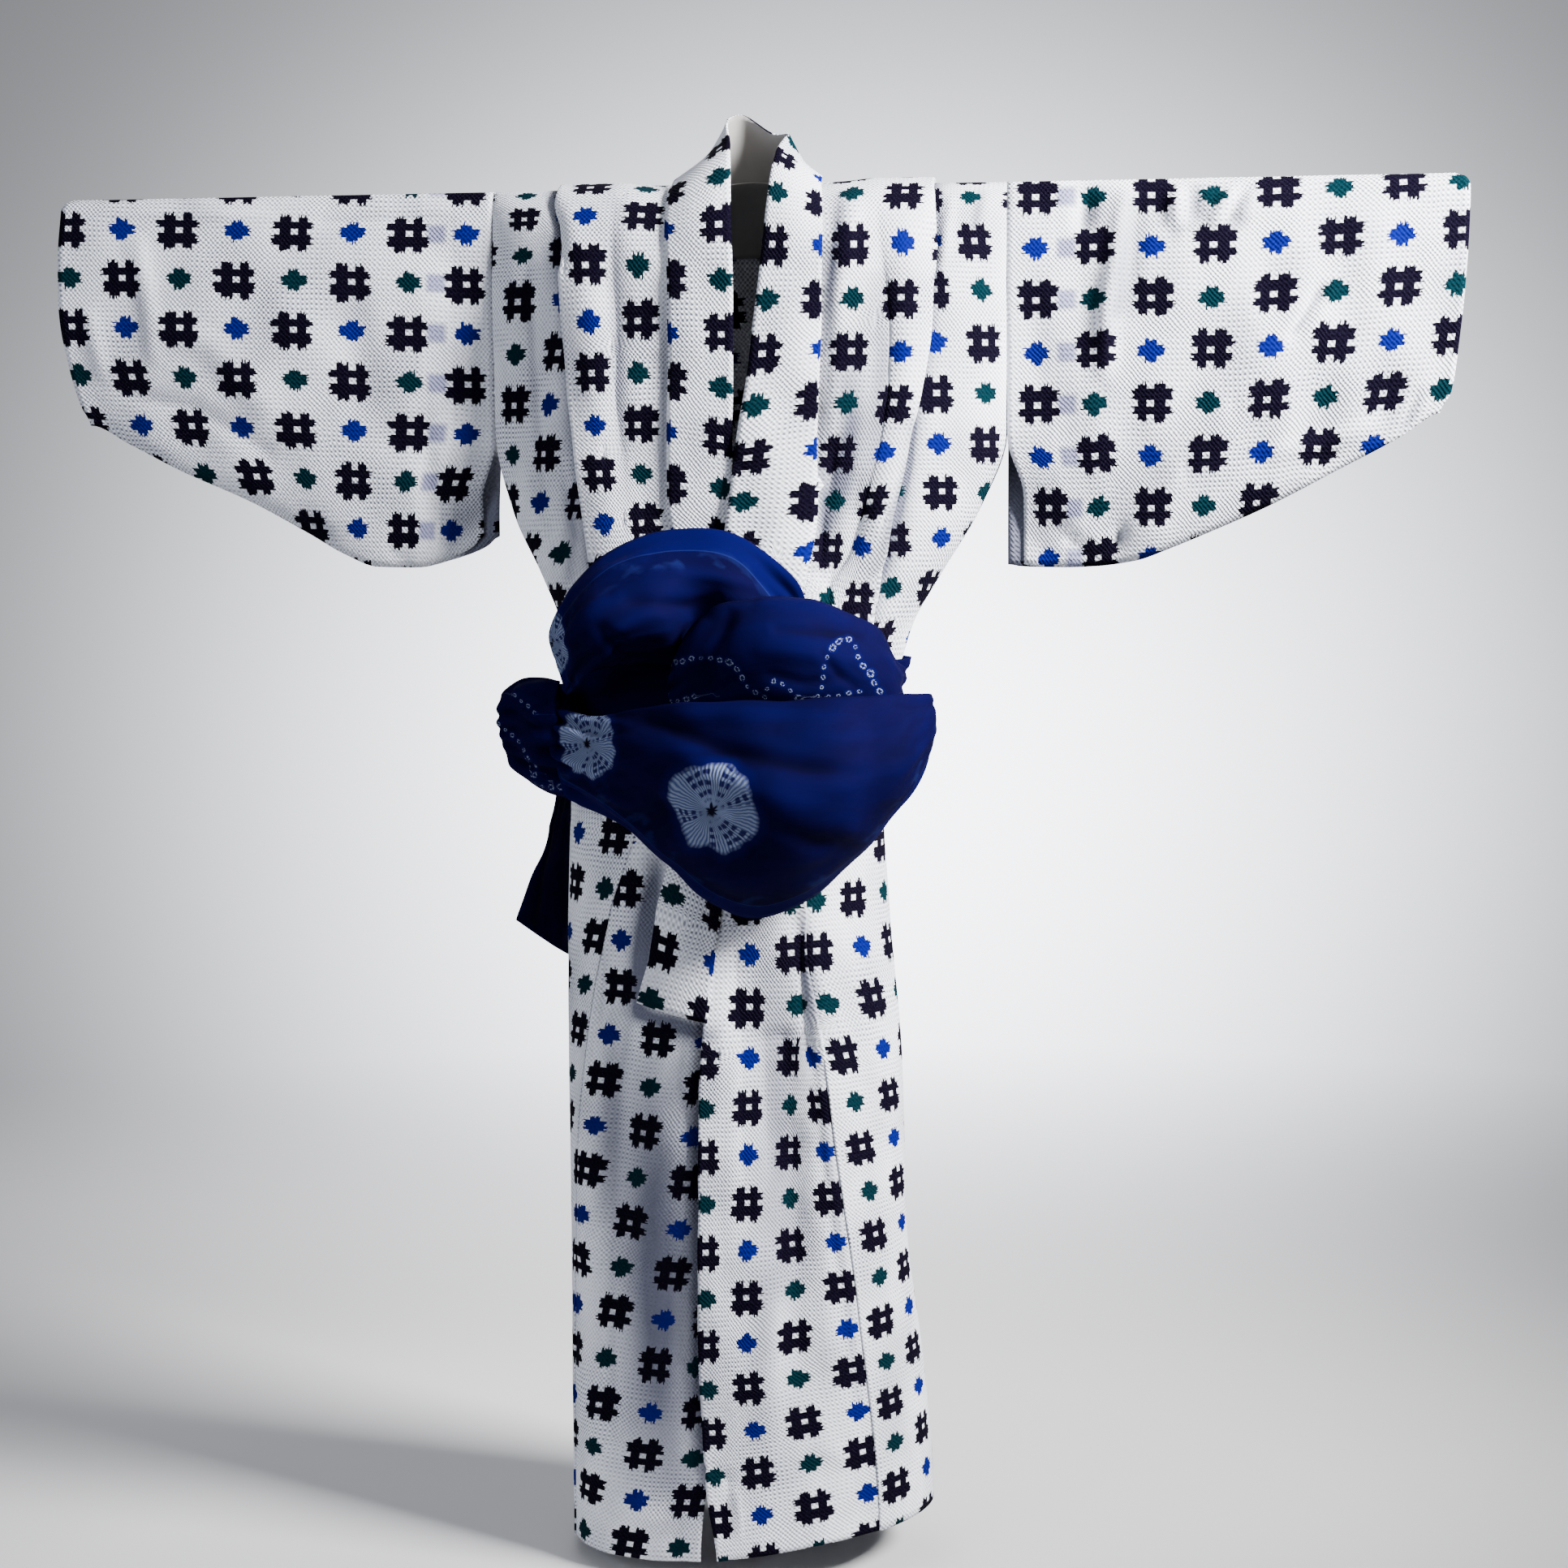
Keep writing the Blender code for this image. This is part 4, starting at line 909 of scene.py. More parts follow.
def column_along(places, table, sense):
    """Column of the print along each row of places, rising along it if sense is 1. The first path in the
    table leads, and each of the others is pulled to its own path where it has one."""
    gone = run(places)
    out = np.empty(gone.shape)
    leader = next(iter(table))
    for r, (row, s) in enumerate(zip(places, gone)):
        x, z = row[:, 0], float(np.median(row[:, 2]))
        away = 1 if abs(x.max() - x[0]) > abs(x.min() - x[0]) else -1
        part = slice(0, max(int(np.argmax(away * x)), 1) + 1)
        xs, ss = away * x[part], s[part]

        def place_of(at):
            beyond = max(away * at - xs[-1], 0) - max(xs[0] - away * at, 0)
            return float(np.interp(away * at, xs, ss)) + beyond

        marks = {}
        for column, path in table.items():
            heights = [p[0] for p in path]
            at = place_of(float(smooth(heights, [p[1] for p in path], z)))
            if column != leader:
                pull = float(ease(min(max(heights) - z, z - min(heights)), 0, COLUMN_FADES))
                at = mix(marks[leader] + sense * (column - leader) * ACROSS, at, pull)
            marks[column] = at
        at, named = np.array(sorted((place, column) for column, place in marks.items()), float).T
        value = np.interp(s, at, named)
        value = np.where(s < at[0], named[0] - sense * (at[0] - s) / ACROSS, value)
        out[r] = np.where(s > at[-1], named[-1] + sense * (s - at[-1]) / ACROSS, value)
    return out


# %% [markdown]
# ## The two body strips
# Each strip carries a deep tuck over the shoulder, which takes in the width that a child has yet to grow
# into. It's a real fold here: the sheet turns under at the tuck's edge, runs back beneath itself, and turns
# again. The outer layer stands a little proud near the edge, as cloth does when it is only pinned above.


# %% Body strips
def strip_edges(side, length):
    """Angles of a strip's inner edge and of its side seam, each half a seam's gap in."""
    z = level(length)[0]
    side_angle = np.radians(read(SIDE_LEFT if side > 0 else SIDE_RIGHT, "x", z))
    front_inner = side * seam_angle(FRONT_EDGE_LEFT if side > 0 else FRONT_EDGE_RIGHT, length)
    seam_x = (read(SECTIONS, "left", z) + read(SECTIONS, "right", z)) / 4
    back_inner = side * angle_of(seam_x + side * read(NECKLINE, "x", -z), length)
    inner = np.where(length < 0, front_inner, back_inner)
    outer = np.where(length < 0, side_angle, math.pi - side_angle)
    return inner + gap_angle(side * inner, length), outer - gap_angle(side * outer, length)


def stack_lift(length, from_edge):
    """How far a front is lifted by the cloth and the collar that lie under its panel."""
    z = level(length)[0]
    return LAYER * read(OVER_STACK, "layers", z) * (1 - ease(from_edge, 0.0, STACK_FADES))


HOLLOW = 0.006  # how deep the under layers sink beside the over panel's edge


def hollow_beside(x, z):
    """How far the under layers sink beside the edge of the panel that lies over them."""
    off = x - read(OVER_EDGE, "x", z)
    sink = np.where(off < 0, np.exp(-((off / 0.007) ** 2)), np.exp(-((off / 0.030) ** 2)))
    return HOLLOW * sink * ease(-z, 0.64, 0.76) * (1 - ease(-z, 1.12, 1.26))


# A strip's cloth in order: to the tuck's edge, round it, back beneath, round again and on to the side seam.
ON_TOP, AT_EDGE, BENEATH, AT_BACK, BEYOND = range(5)
STRIP_STEPS = [42, 5, 5, 4, 62]  # quads across each of these
TUCK_PUFF = 0.0055  # how far the outer layer stands proud beside the tuck's edge
KISE, KISE_OVER, KISE_FADES = 0.0014, 0.0026, 0.009  # a seam is pressed so that one side stands over it
COVERS_BELOW = -0.32  # from here down the right strip's front edge stands over its panel
EVEN_BY, EVEN_SHARE = 0.80, 0.36  # this far down, the tuck's place in the grid has moved to this share of it
WHOLE_BELOW = -0.50  # from here down hardly any width is left in the tuck
ROWS_SLIP = {1: 0.2, -1: 0.45}  # beside a tuck the print lies this share of a row higher


def strip_lengths():
    """Where the rows of a strip lie: closest together over the shoulder."""
    front = np.arange(length_at(HEM, FRONT), -0.060, 0.0075)
    over = np.arange(-0.057, 0.060, 0.0045)
    back = np.arange(0.062, length_at(HEM, BACK), 0.0100)
    return np.concatenate([front, over, back, [length_at(HEM, BACK)]])


def body_strip(name, side):
    """One strip: flat from its inner edge to the tuck, folded under and back, then flat to the side seam."""
    length = strip_lengths()[:, None]
    z = level(length)[0]
    inner, outer = strip_edges(side, length)
    covers = (length < 0) & (z < COVERS_BELOW) & (side < 0) | (length > 0) & (side > 0)
    inner = inner - np.where(covers, 2 * KISE_OVER / SEAM_GAP * gap_angle(side * inner, length), 0)
    hides = read(TUCKS, "hides", z)
    fold_x = read(TUCKS, "left" if side > 0 else "right", z)
    fold = np.maximum(side * angle_of(fold_x, length), inner + NARROWEST)
    back_fold = side * angle_of(fold_x - side * hides, length)
    ending = length_at(TUCK_ENDS, FRONT)
    last = np.argmin(np.abs(length[:, 0] - ending))
    last_share = ((fold - inner) / (outer - inner))[last, 0]
    plain = mix(inner, outer, mix(last_share, EVEN_SHARE, ease(-z, -TUCK_ENDS, EVEN_BY)))
    gone = z < TUCK_ENDS
    fold, back_fold = np.where(gone, plain, fold), np.where(gone, plain, back_fold)
    folded = np.where(gone, 0.0, np.minimum(1.0, hides / FULL_TUCK))
    travel = SEAM_GAP / 2 / gap_angle(side * fold, length)
    bulge = folded * LAYER * 0.6 / travel
    angles, lifts, parts = [], [], []
    for part, steps in enumerate(STRIP_STEPS):
        share = np.linspace(0, 1, steps + 1)[None, : None if part == BEYOND else -1]
        roll = np.sin(math.pi * share)
        if part == ON_TOP:
            here, lift = mix(inner, fold, share), 2.0 * folded * ease(share, 0.0, 0.5)
        elif part == AT_EDGE:
            here, lift = fold + bulge * roll, folded * (1.5 + 0.5 * np.cos(math.pi * share))
        elif part == BENEATH:
            here, lift = mix(fold, back_fold, share), folded + 0 * share
        elif part == AT_BACK:
            here, lift = back_fold - bulge * roll, folded * (0.5 + 0.5 * np.cos(math.pi * share))
        else:
            here, lift = mix(back_fold, outer, share), 0 * share + 0 * folded
        angles.append(here + 0 * share)
        lifts.append(lift)
        parts += [part] * share.shape[1]
    angle, lift = np.concatenate(angles, 1), np.concatenate(lifts, 1) * LAYER
    parts = np.array(parts)
    sooner = np.where(length > 0, 0.12, 0.0)  # behind, the fold lies flat before it reaches the obi
    puff = TUCK_PUFF * folded * ease(-z, 0.01, 0.10) * (1 - ease(-z, 0.40 - sooner, 0.52 - sooner))
    near = np.linspace(0, 1, STRIP_STEPS[ON_TOP] + 1)[:-1]
    lift[:, parts == ON_TOP] += puff * ease(near, 0.35, 0.9)[None, :]
    lift[:, parts == AT_EDGE] += puff * np.linspace(1, 0.0, STRIP_STEPS[AT_EDGE] + 1)[None, :-1]
    x = on_form(side * angle, length)[..., 0]
    if side > 0:
        stack = stack_lift(length, np.abs(x - read(FRONT_EDGE_LEFT, "x", z)))
        lift = np.where(length < 0, np.maximum(lift, stack), lift)
    else:
        lift = lift - np.where(length < 0, hollow_beside(x, z), 0)
    off_seam = np.abs(x - x[:, :1])
    lift = lift + np.where(covers, KISE * (1 - ease(off_seam, 0.0, KISE_FADES)), 0)
    places = on_form(side * angle, length, lift)
    # Painted shade: from the SHADES table in front, and beside the tuck's edge on the layer beneath
    shade = creased(x, z + 0 * x, SHADES, FRONT) * (length < 0)
    off_tuck = x - x[:, parts == AT_EDGE][:, :1]
    beside = np.exp(-((off_tuck / TUCK_SHADE_WIDE) ** 2)) * (parts >= AT_BACK)
    shade = shade * (parts != AT_BACK) + TUCK_SHADE * beside * folded * (length < 0)
    column = strip_columns(places, parts, side, length)
    rows = LEFT_ROWS if side > 0 else RIGHT_ROWS
    row = row_of(length, rows) + np.zeros(angle.shape)
    slip = ROWS_SLIP[side] * np.interp(parts, [AT_EDGE, AT_BACK], [0, 1])[None, :]
    row = row + slip * ease(-z, 0.0, 0.1) * (1 - ease(-z, 0.4, 0.5))
    way = UPRIGHT if side > 0 else TURNED
    return cloth(name, places, np.stack([column, row], -1) * way, WALL, cotton, shade=shade)


def strip_columns(places, parts, side, length):
    """Column of the print over a strip: by its tables in front, and at the bolt's width behind."""
    top, beyond = parts == ON_TOP, parts == BEYOND
    front = length[:, 0] < 0
    tables = (LEFT_FRONT, LEFT_SIDE) if side > 0 else (RIGHT_FRONT, RIGHT_SIDE)
    z = level(length[:, 0])[0]
    out = np.zeros(places.shape[:2])
    ahead = column_along(places[:, top], tables[0], side)
    aside = column_along(places[:, beyond], tables[1], side)
    gone = run(places)
    step = side / ACROSS
    edge, start = np.where(top)[0][-1], np.where(beyond)[0][0]
    # below the tuck the sheet is whole, so the side goes on from the front
    whole = ahead[:, -1:] + step * (gone[:, beyond] - gone[:, edge : edge + 1])
    aside = np.where((z < WHOLE_BELOW)[:, None], whole, aside)
    shoulder = np.argmin(np.abs(length[:, 0] + 0.002))
    behind_top = ahead[shoulder, -1] - step * (gone[:, edge : edge + 1] - gone[:, top])
    behind_side = aside[shoulder, 0] + step * (gone[:, beyond] - gone[:, start : start + 1])
    blend = ease(length, 0.0, 0.08)
    ahead = mix(np.where(front[:, None], ahead, ahead[shoulder]), behind_top, blend)
    aside = mix(np.where(front[:, None], aside, aside[shoulder]), behind_side, blend)
    out[:, top], out[:, beyond] = ahead, aside
    middle = (parts > ON_TOP) & (parts < BEYOND)
    share = np.linspace(0, 1, middle.sum() + 2)[1:-1]
    out[:, middle] = mix(ahead[:, -1:], aside[:, :1], share[None, :])
    return out


strips = [body_strip("body_strip_left", 1), body_strip("body_strip_right", -1)]
for strip, node in zip(strips, ("body_left", "body_right")):
    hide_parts(node)
    print(strip.name, len(strip.data.polygons), "quads")


# %% [markdown]
# ## The front panels
# An okumi is a narrow panel sewn to the front edge of each strip, so the robe can close. It narrows to a
# point under the collar. Its free edge is turned in and sewn down, which stiffens it into a flat border.


# %% Okumi
HEM_BORDER, HEM_BORDER_LIFT = 0.021, 0.0030  # the free edge's turned border, thickest at the edge
PANEL_TOP, PANEL_STEP = -0.300, -0.0060
FLAP_ENDS, FLAP_FADES = -0.78, -0.86  # below the collar's flap the over panel sinks between these heights


def okumi(name, side):
    """One front panel, from its seam with the strip to its free edge."""
    seam, edge = (FRONT_EDGE_LEFT, OVER_EDGE) if side > 0 else (FRONT_EDGE_RIGHT, UNDER_EDGE)
    z_rows = np.arange(PANEL_TOP, HEM, PANEL_STEP)
    length = length_at(np.append(z_rows, HEM), FRONT)[:, None]
    z = level(length)[0]
    start = seam_angle(seam, length)
    covers = side * 2 * KISE_OVER / SEAM_GAP if side > 0 else 0
    start = start - (side - covers) * gap_angle(start, length)
    end = seam_angle(edge, length)
    share = np.linspace(0, 1, 57)[None, :]
    angle = mix(start, end, share)
    x = on_form(angle, length)[..., 0]
    lift = np.zeros(angle.shape)
    if side > 0:
        lift = LAYER * read(OVER_STACK, "layers", z) + 0 * share
        low = lift * (1 - ease(x, -0.010, 0.060))
        beside_seam = stack_lift(length, np.abs(x - read(seam, "x", z)))
        low = np.maximum(low, beside_seam * ease(z, FLAP_FADES, FLAP_ENDS))
        lift = np.where(z < FLAP_ENDS, low, lift)
    else:
        lift = lift - hollow_beside(x, z)
    from_edge = np.abs(x - read(edge, "x", z))
    lift = lift + HEM_BORDER_LIFT * (1 - from_edge / HEM_BORDER).clip(0, 1) * ease(-z, 0.60, 0.70)
    if side > 0:
        lift = lift + KISE * (1 - ease(np.abs(x - x[:, :1]), 0.0, KISE_FADES))
    places = on_form(angle, length, lift)
    table = OVER_PANEL if side > 0 else UNDER_PANEL
    column = column_along(places, table, -side)
    row = row_of(length, LEFT_ROWS if side > 0 else RIGHT_ROWS) + 0 * angle
    # Painted shade from the SHADES table; the under panel also gets a painted shadow beside the over panel's
    # edge
    shade = creased(x, z + 0 * x, SHADES, FRONT)
    if side < 0:
        beside = x - read(OVER_EDGE, "x", z)
        shown = ease(-z, 0.76, 0.80) * (1 - ease(-z, 1.18, 1.26))
        shade = shade + 0.5 * np.exp(-((beside / 0.010) ** 2)) * shown
    way = UPRIGHT if side > 0 else TURNED
    return cloth(name, places, np.stack([column, row], -1) * way, WALL, cotton, shade=shade)


panels = [okumi("okumi_over", 1), okumi("okumi_under", -1)]
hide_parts("okumi_left")
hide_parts("okumi_right")

# %% Neck patch
PATCH_IN = 0.0020  # how far inside the back strips it lies
PATCH_TOP, PATCH_LOW, PATCH_HALF = 0.0060, 0.062, 0.060


def neck_patch():
    length = length_at(-np.linspace(PATCH_TOP, PATCH_LOW, 13), BACK)[:, None]
    x = np.linspace(-PATCH_HALF, PATCH_HALF, 25)[None, :]
    angle = angle_of(x + 0 * length, length + 0 * x)
    places = on_form(angle, length, np.full(angle.shape, -PATCH_IN))
    prints = np.stack([x / ACROSS + 0 * length, length / DOWN + 0 * x], -1)
    # The patch takes the lining's painted-shade grey
    return cloth("neck_patch_lining", places, prints, WALL, lining)


patch = neck_patch()
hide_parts("neck_patch")

# %% [markdown]
# ## The collar
# The collar is one long band folded double. It lies flat on the fronts, and at the neck it stands clear of
# the shoulders, rolling from its seam to its free edge. A yukata's collar keeps this line because it is
# thick, so it is given twice the wall of the other cloth.

# %% Collar
Band = namedtuple("Band", "seam_x seam_fall layers free_x free_y free_z")


def bands(*rows):
    """Bands across the collar, from rows in mm. The layers of cloth under a band are a plain number."""
    mm = [[None if value is None else value / 1000 for value in row] for row in rows]
    return [Band(*row)._replace(layers=given[2]) for row, given in zip(mm, rows)]


COLLAR_LEFT = bands(
    (-31, -768, 3.9, -91, None, -752),
    (-25, -715, 3.9, -79, None, -700),
    (-17, -664, 3.9, -65, None, -640),
    (12, -560, 3.8, -47, None, -545),
    (35, -460, 3.8, -28, None, -450),
    (56, -370, 3.8, -17, None, -360),
    (68, -300, 3.65, -10, None, -300),
    (72, -230, 2.6, -1, None, -240),
    (75, -160, 1.6, 10, None, -165),
    (76, -90, 1.4, 19, None, -90),
    (76, -50, 1.5, 24, -88, -45),
    (73, -18, 1.6, 27, -64, 2),
    (70, -4, 1.7, 30, -46, 24),
    (69, 0, 1.8, 32, -32, 34),
    (64, 4, 1.9, 36, -14, 44),
    (57, 9, 2.0, 37, 0, 49),
    (34, 13.5, 2.0, 20, 18, 52),
)
COLLAR_BACK = bands((0, 16, 2.0, -6, 28, 70))
COLLAR_RIGHT = bands(
    (-34, 13.5, 2.0, -19, 22, 68),
    (-57, 9, 2.0, -20, 4, 60),
    (-63, 4, 1.9, -18, -10, 52),
    (-67, 0, 1.8, -14, -28, 40),
    (-68, -4, 1.7, -12, -42, 28),
    (-69, -18, 1.6, -9, -64, 2),
    (-68, -50, 1.5, -6, -88, -45),
    (-64, -90, 1.4, -4, None, -90),
    (-63, -160, 1.3, -4, None, -165),
    (-65, -230, 1.2, -5, None, -240),
    (-65, -300, 1.15, -4, None, -300),
    (-52, -370, 1.15, 8, None, -360),
    (-36, -460, 1.15, 24, None, -450),
    (-22, -560, 1.15, 36, None, -545),
    (-14, -664, 1.15, 40, None, -650),
    (-10, -740, 1.15, 42, None, -728),
)
BANDS = COLLAR_LEFT + COLLAR_BACK + COLLAR_RIGHT
NECK_FROM, NECK_TO = len(COLLAR_LEFT) - 8, len(BANDS) - 9  # between these a smooth curve joins the bands
COLLAR_COLUMN, COLLAR_COLUMN_WIDE = 0.18, 0.84  # shares of the band: free edge to a column, and to the next
COLLAR_RIGHT_ROWS = [(-0.046, 2), (-0.141, 4), (-0.233, 6), (-0.740, 17)]
STANDS_BOWED = 0.006  # where the band stands clear in front, its middle comes forward this far


def band_places(bands, shares):
    """Rows across the band: on the form where it lies flat, and straight across where it stands clear."""
    shares = np.asarray(shares)[None, :]
    seam_x, seam_fall, layers, free_x, free_z = (
        np.array([getattr(b, key) for b in bands], float)[:, None]
        for key in ("seam_x", "seam_fall", "layers", "free_x", "free_z")
    )
    seam_length = length_at(-np.abs(seam_fall), np.where(seam_fall > 0, BACK, FRONT))
    lift = layers * LAYER
    seam = on_form(angle_of(seam_x, seam_length), seam_length, lift)
    x = mix(seam_x, free_x, shares)
    fall = np.minimum(mix(seam_fall, free_z, shares), 0.0)
    length = length_at(fall, FRONT)
    flat = on_form(angle_of(x, length), length, lift + 0 * shares)
    free_y = np.array([np.nan if b.free_y is None else b.free_y for b in bands], float)[:, None]
    clear = ~np.isnan(free_y)
    bow = STANDS_BOWED * np.sin(math.pi * shares) * np.where(seam_fall < 0, -1, 0)
    y, z = mix(seam[..., 1], np.nan_to_num(free_y), shares), mix(seam[..., 2], free_z, shares)
    standing = np.stack([x, y + bow, z], -1)
    return np.where(clear[..., None], standing, flat)


def through(rows, count):
    """More rows on a smooth curve through these, evenly spaced between each two."""
    rows = np.asarray(rows, float)
    spare = np.concatenate([2 * rows[:1] - rows[1:2], rows, 2 * rows[-1:] - rows[-2:-1]])
    out = []
    for a, b, c, d in zip(spare, spare[1:], spare[2:], spare[3:]):
        for t in np.linspace(0, 1, count, endpoint=False):
            out.append(0.5 * (2 * b + (c - a) * t + (2 * a - 5 * b + 4 * c - d) * t * t
                              + (3 * b - a - 3 * c + d) * t**3))
    out.append(rows[-1])
    return np.array(out)


def finer(bands, count):
    """Bands between those of a stretch that lies flat, on straight lines as in the measured model."""
    out = []
    for a, b in zip(bands, bands[1:]):
        for t in np.linspace(0, 1, count, endpoint=False):
            out.append(Band(*(None if u is None else mix(u, v, t) for u, v in zip(a, b))))
    return out


def collar():
    """The whole band, with its print running on round the neck from one end to the other."""
    shares = np.linspace(0, 1, 15)
    left = band_places(finer(BANDS[: NECK_FROM + 1], 9), shares)
    right = band_places(finer(BANDS[NECK_TO:], 9) + [BANDS[-1]], shares)
    neck = through(band_places(BANDS[NECK_FROM - 1 : NECK_TO + 2], shares), 6)[6:-7]
    places = np.concatenate([left, neck, right])
    middle = places[:, len(shares) // 2]
    gone = run(middle[None], 1)[0]
    rows = len(places)
    a, b = len(left), rows - len(right)
    z = middle[:, 2]
    row = np.empty(rows)
    row[:a] = row_of(length_at(z[:a], FRONT), LEFT_ROWS)
    right_rows = row_of(length_at(z[b:], FRONT), COLLAR_RIGHT_ROWS)
    across = (gone[b] - gone[a - 1]) / DOWN
    turned_by = 2 * round((across - row[a - 1] - right_rows[0]) / 2)
    row[b:] = -right_rows - turned_by
    row[a:b] = np.interp(gone[a:b], [gone[a - 1], gone[b]], [row[a - 1], row[b]])
    column = (1 - shares - COLLAR_COLUMN) / COLLAR_COLUMN_WIDE
    prints = np.stack(np.broadcast_arrays(column[None, :], row[:, None]), -1)
    print(f"the collar is {gone[-1]:.3f} m long, of which {across * DOWN:.3f} m goes round the neck")
    # The band's inner side takes the lining's painted-shade grey
    return cloth("collar_band", places, prints, BAND_WALL, cotton, inside=lining)


band = collar()
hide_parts("collar")

# %% [markdown]
# ## The sleeves
# A sleeve is one width of cloth folded over the arm. It is sewn to the body for the depth of the armhole
# only, and below that its inner edge hangs open. The bottom is closed by a seam that curves up to the wrist.
# Each side of the tube gets creases of its own, so the two don't mirror.

# %% Sleeves
Drop = namedtuple("Drop", "x right left")
DROPS = [
    Drop(0.241, 0.322, 0.352), Drop(0.254, 0.332, 0.354), Drop(0.287, 0.344, 0.355),
    Drop(0.320, 0.351, 0.354), Drop(0.358, 0.350, 0.349), Drop(0.390, 0.338, 0.338),
    Drop(0.425, 0.318, 0.324), Drop(0.480, 0.288, 0.300), Drop(0.550, 0.257, 0.264),
    Drop(0.600, 0.231, 0.238), Drop(0.638, 0.213, 0.216),
]
Wrist = namedtuple("Wrist", "share right left")
WRISTS = [
    Wrist(0.00, 0.650, 0.648), Wrist(0.012, 0.657, 0.657), Wrist(0.05, 0.661, 0.661),
    Wrist(0.44, 0.663, 0.657), Wrist(0.73, 0.655, 0.651), Wrist(0.91, 0.646, 0.646),
    Wrist(1.00, 0.638, 0.636),
]
Fullness = namedtuple("Fullness", "x half")
FULLNESS = [
    Fullness(0.24, 0.019), Fullness(0.30, 0.024), Fullness(0.42, 0.026), Fullness(0.56, 0.020),
    Fullness(0.66, 0.013),
]
SLEEVE_CREASES = {
    "left": creases(FRONT, [
        (8, 6.5, (350, -2), (343, -59), (332, -118), (330, -185)),
        (9, -5.1, (315, -9), (312, -51)),
        (9, -4.3, (359, -22), (353, -81), (344, -133)),
        (6.5, 5.1, (396, -2), (396, -44)),
        (7, -3.6, (410, -4), (413, -42)),
        (6.5, 5.1, (453, -1), (440, -23), (428, -46)),
        (5.5, 4.3, (466, -13), (451, -37)),
        (5.5, -4.3, (530, -97), (513, -128), (499, -150)),
        (3, -2.3, (448, -197), (446, -217)),
        (3, -2.3, (404, -256), (407, -274)),
        (5, -4.3, (347, -317), (342, -338)),
        (6, -3.2, (285, -311), (319, -348)),
        (24, 4.3, (521, -114), (462, -186), (400, -267), (375, -334)),
        (7, 2.9, (581, -224), (537, -242), (478, -253)),
        (5, -2.9, (617, -195), (600, -241)),
    ]) + creases(BACK, [
        (8, 5.8, (330, -4), (322, -80), (326, -170)),
        (7, 4.3, (420, -4), (412, -60)),
        (18, 4.3, (560, -30), (500, -120), (430, -200)),
        (6, -3.6, (300, -250), (330, -330)),
    ]),
    "right": creases(FRONT, [
        (7, 4.1, (584, -30), (571, -104), (568, -157)),
        (14, 3.8, (567, -119), (511, -139), (452, -210)),
        (5, 2.6, (625, -12), (529, -14), (441, -20)),
        (5, -2.3, (433, -23), (348, -22), (277, -26)),
        (5, -3.8, (351, -330), (324, -351)),
        (5, -3.2, (425, -305), (400, -322)),
        (8, -2.9, (611, -180), (530, -196), (452, -243)),
        (7, 3.2, (632, -103), (620, -172)),
        (9, -3.6, (308, -176), (305, -275), (300, -336)),
        (16, -3.2, (378, -46), (366, -138), (364, -244)),
        (6, 2.9, (255, -177), (255, -275)),
    ]) + creases(BACK, [
        (8, 5.1, (340, -4), (334, -90), (340, -160)),
        (16, 4.3, (500, -10), (470, -100), (420, -190)),
        (7, -3.6, (580, -60), (560, -150)),
        (6, -3.6, (290, -240), (310, -320)),
    ]),
}
# Painted shade on the front of each sleeve; in these rows a share from 0 to 1 stands for how dark it is
SLEEVE_SHADES = {
    "left": creases(FRONT, [
        (10, 0.5, (326, -2), (318, -30), (312, -54)),
        (11, 0.5, (354, -8), (352, -40), (345, -90), (336, -150)),
        (10, 0.42, (416, -2), (410, -52)),
        (8, 0.42, (468, -6), (452, -40), (436, -60)),
        (8, 0.3, (300, -330), (345, -352)),
    ], per=1),
    "right": creases(FRONT, [
        (6, 0.3, (606, -10), (586, -90), (574, -160)),
        (12, 0.22, (560, -130), (520, -150), (490, -190)),
        (14, 0.18, (380, -40), (368, -140), (366, -240)),
        (7, 0.3, (400, -322), (430, -304)),
    ], per=1),
}
CREASE_LIFT = {"left": 1.6, "right": 0.9}  # times the depths in the table
SLEEVE_UNEVEN = 0.0012  # the unevenness of their cloth
OPENING_SHOWS = 0.015  # below the armhole the front layer stops this far short of the back one
SLEEVE_MIDDLE = 0.43  # x from which the right sleeve's rows rise and fall
SLEEVE_TILT = {"left": (0.050, 0.45), "right": (0.035, 0.0)}  # slope of the rows, and where it begins
SLEEVE_ROWS = {"left": (0.062, 0.0480), "right": (0.034, 0.0467)}  # depth of row 2, and from row to row


def armhole_half(z):
    """Half of the armhole's opening, front to back."""
    share = np.where(z < -SHOULDER_ROUND, 1.0, np.sqrt(np.maximum(1 - (1 + z / SHOULDER_ROUND) ** 2, 0)))
    return read(SECTIONS, "open", z) * share


def sleeve_half(x, z, drop):
    """Half of a sleeve's fullness, front to back. It leaves the body as open as the armhole."""
    free = read(FULLNESS, "half", x) * np.sin(math.pi * np.clip(-z / drop, 0, 1)) ** 0.65
    at_body = armhole_half(z) * (1 - ease(-z, ARMHOLE, drop))
    held = ease(x, 0.24, 0.33)
    half = np.maximum(WALL / 2 + SEAM_GAP / 2, mix(at_body, free, held))
    return np.where(z > -1e-6, 0.0, half)


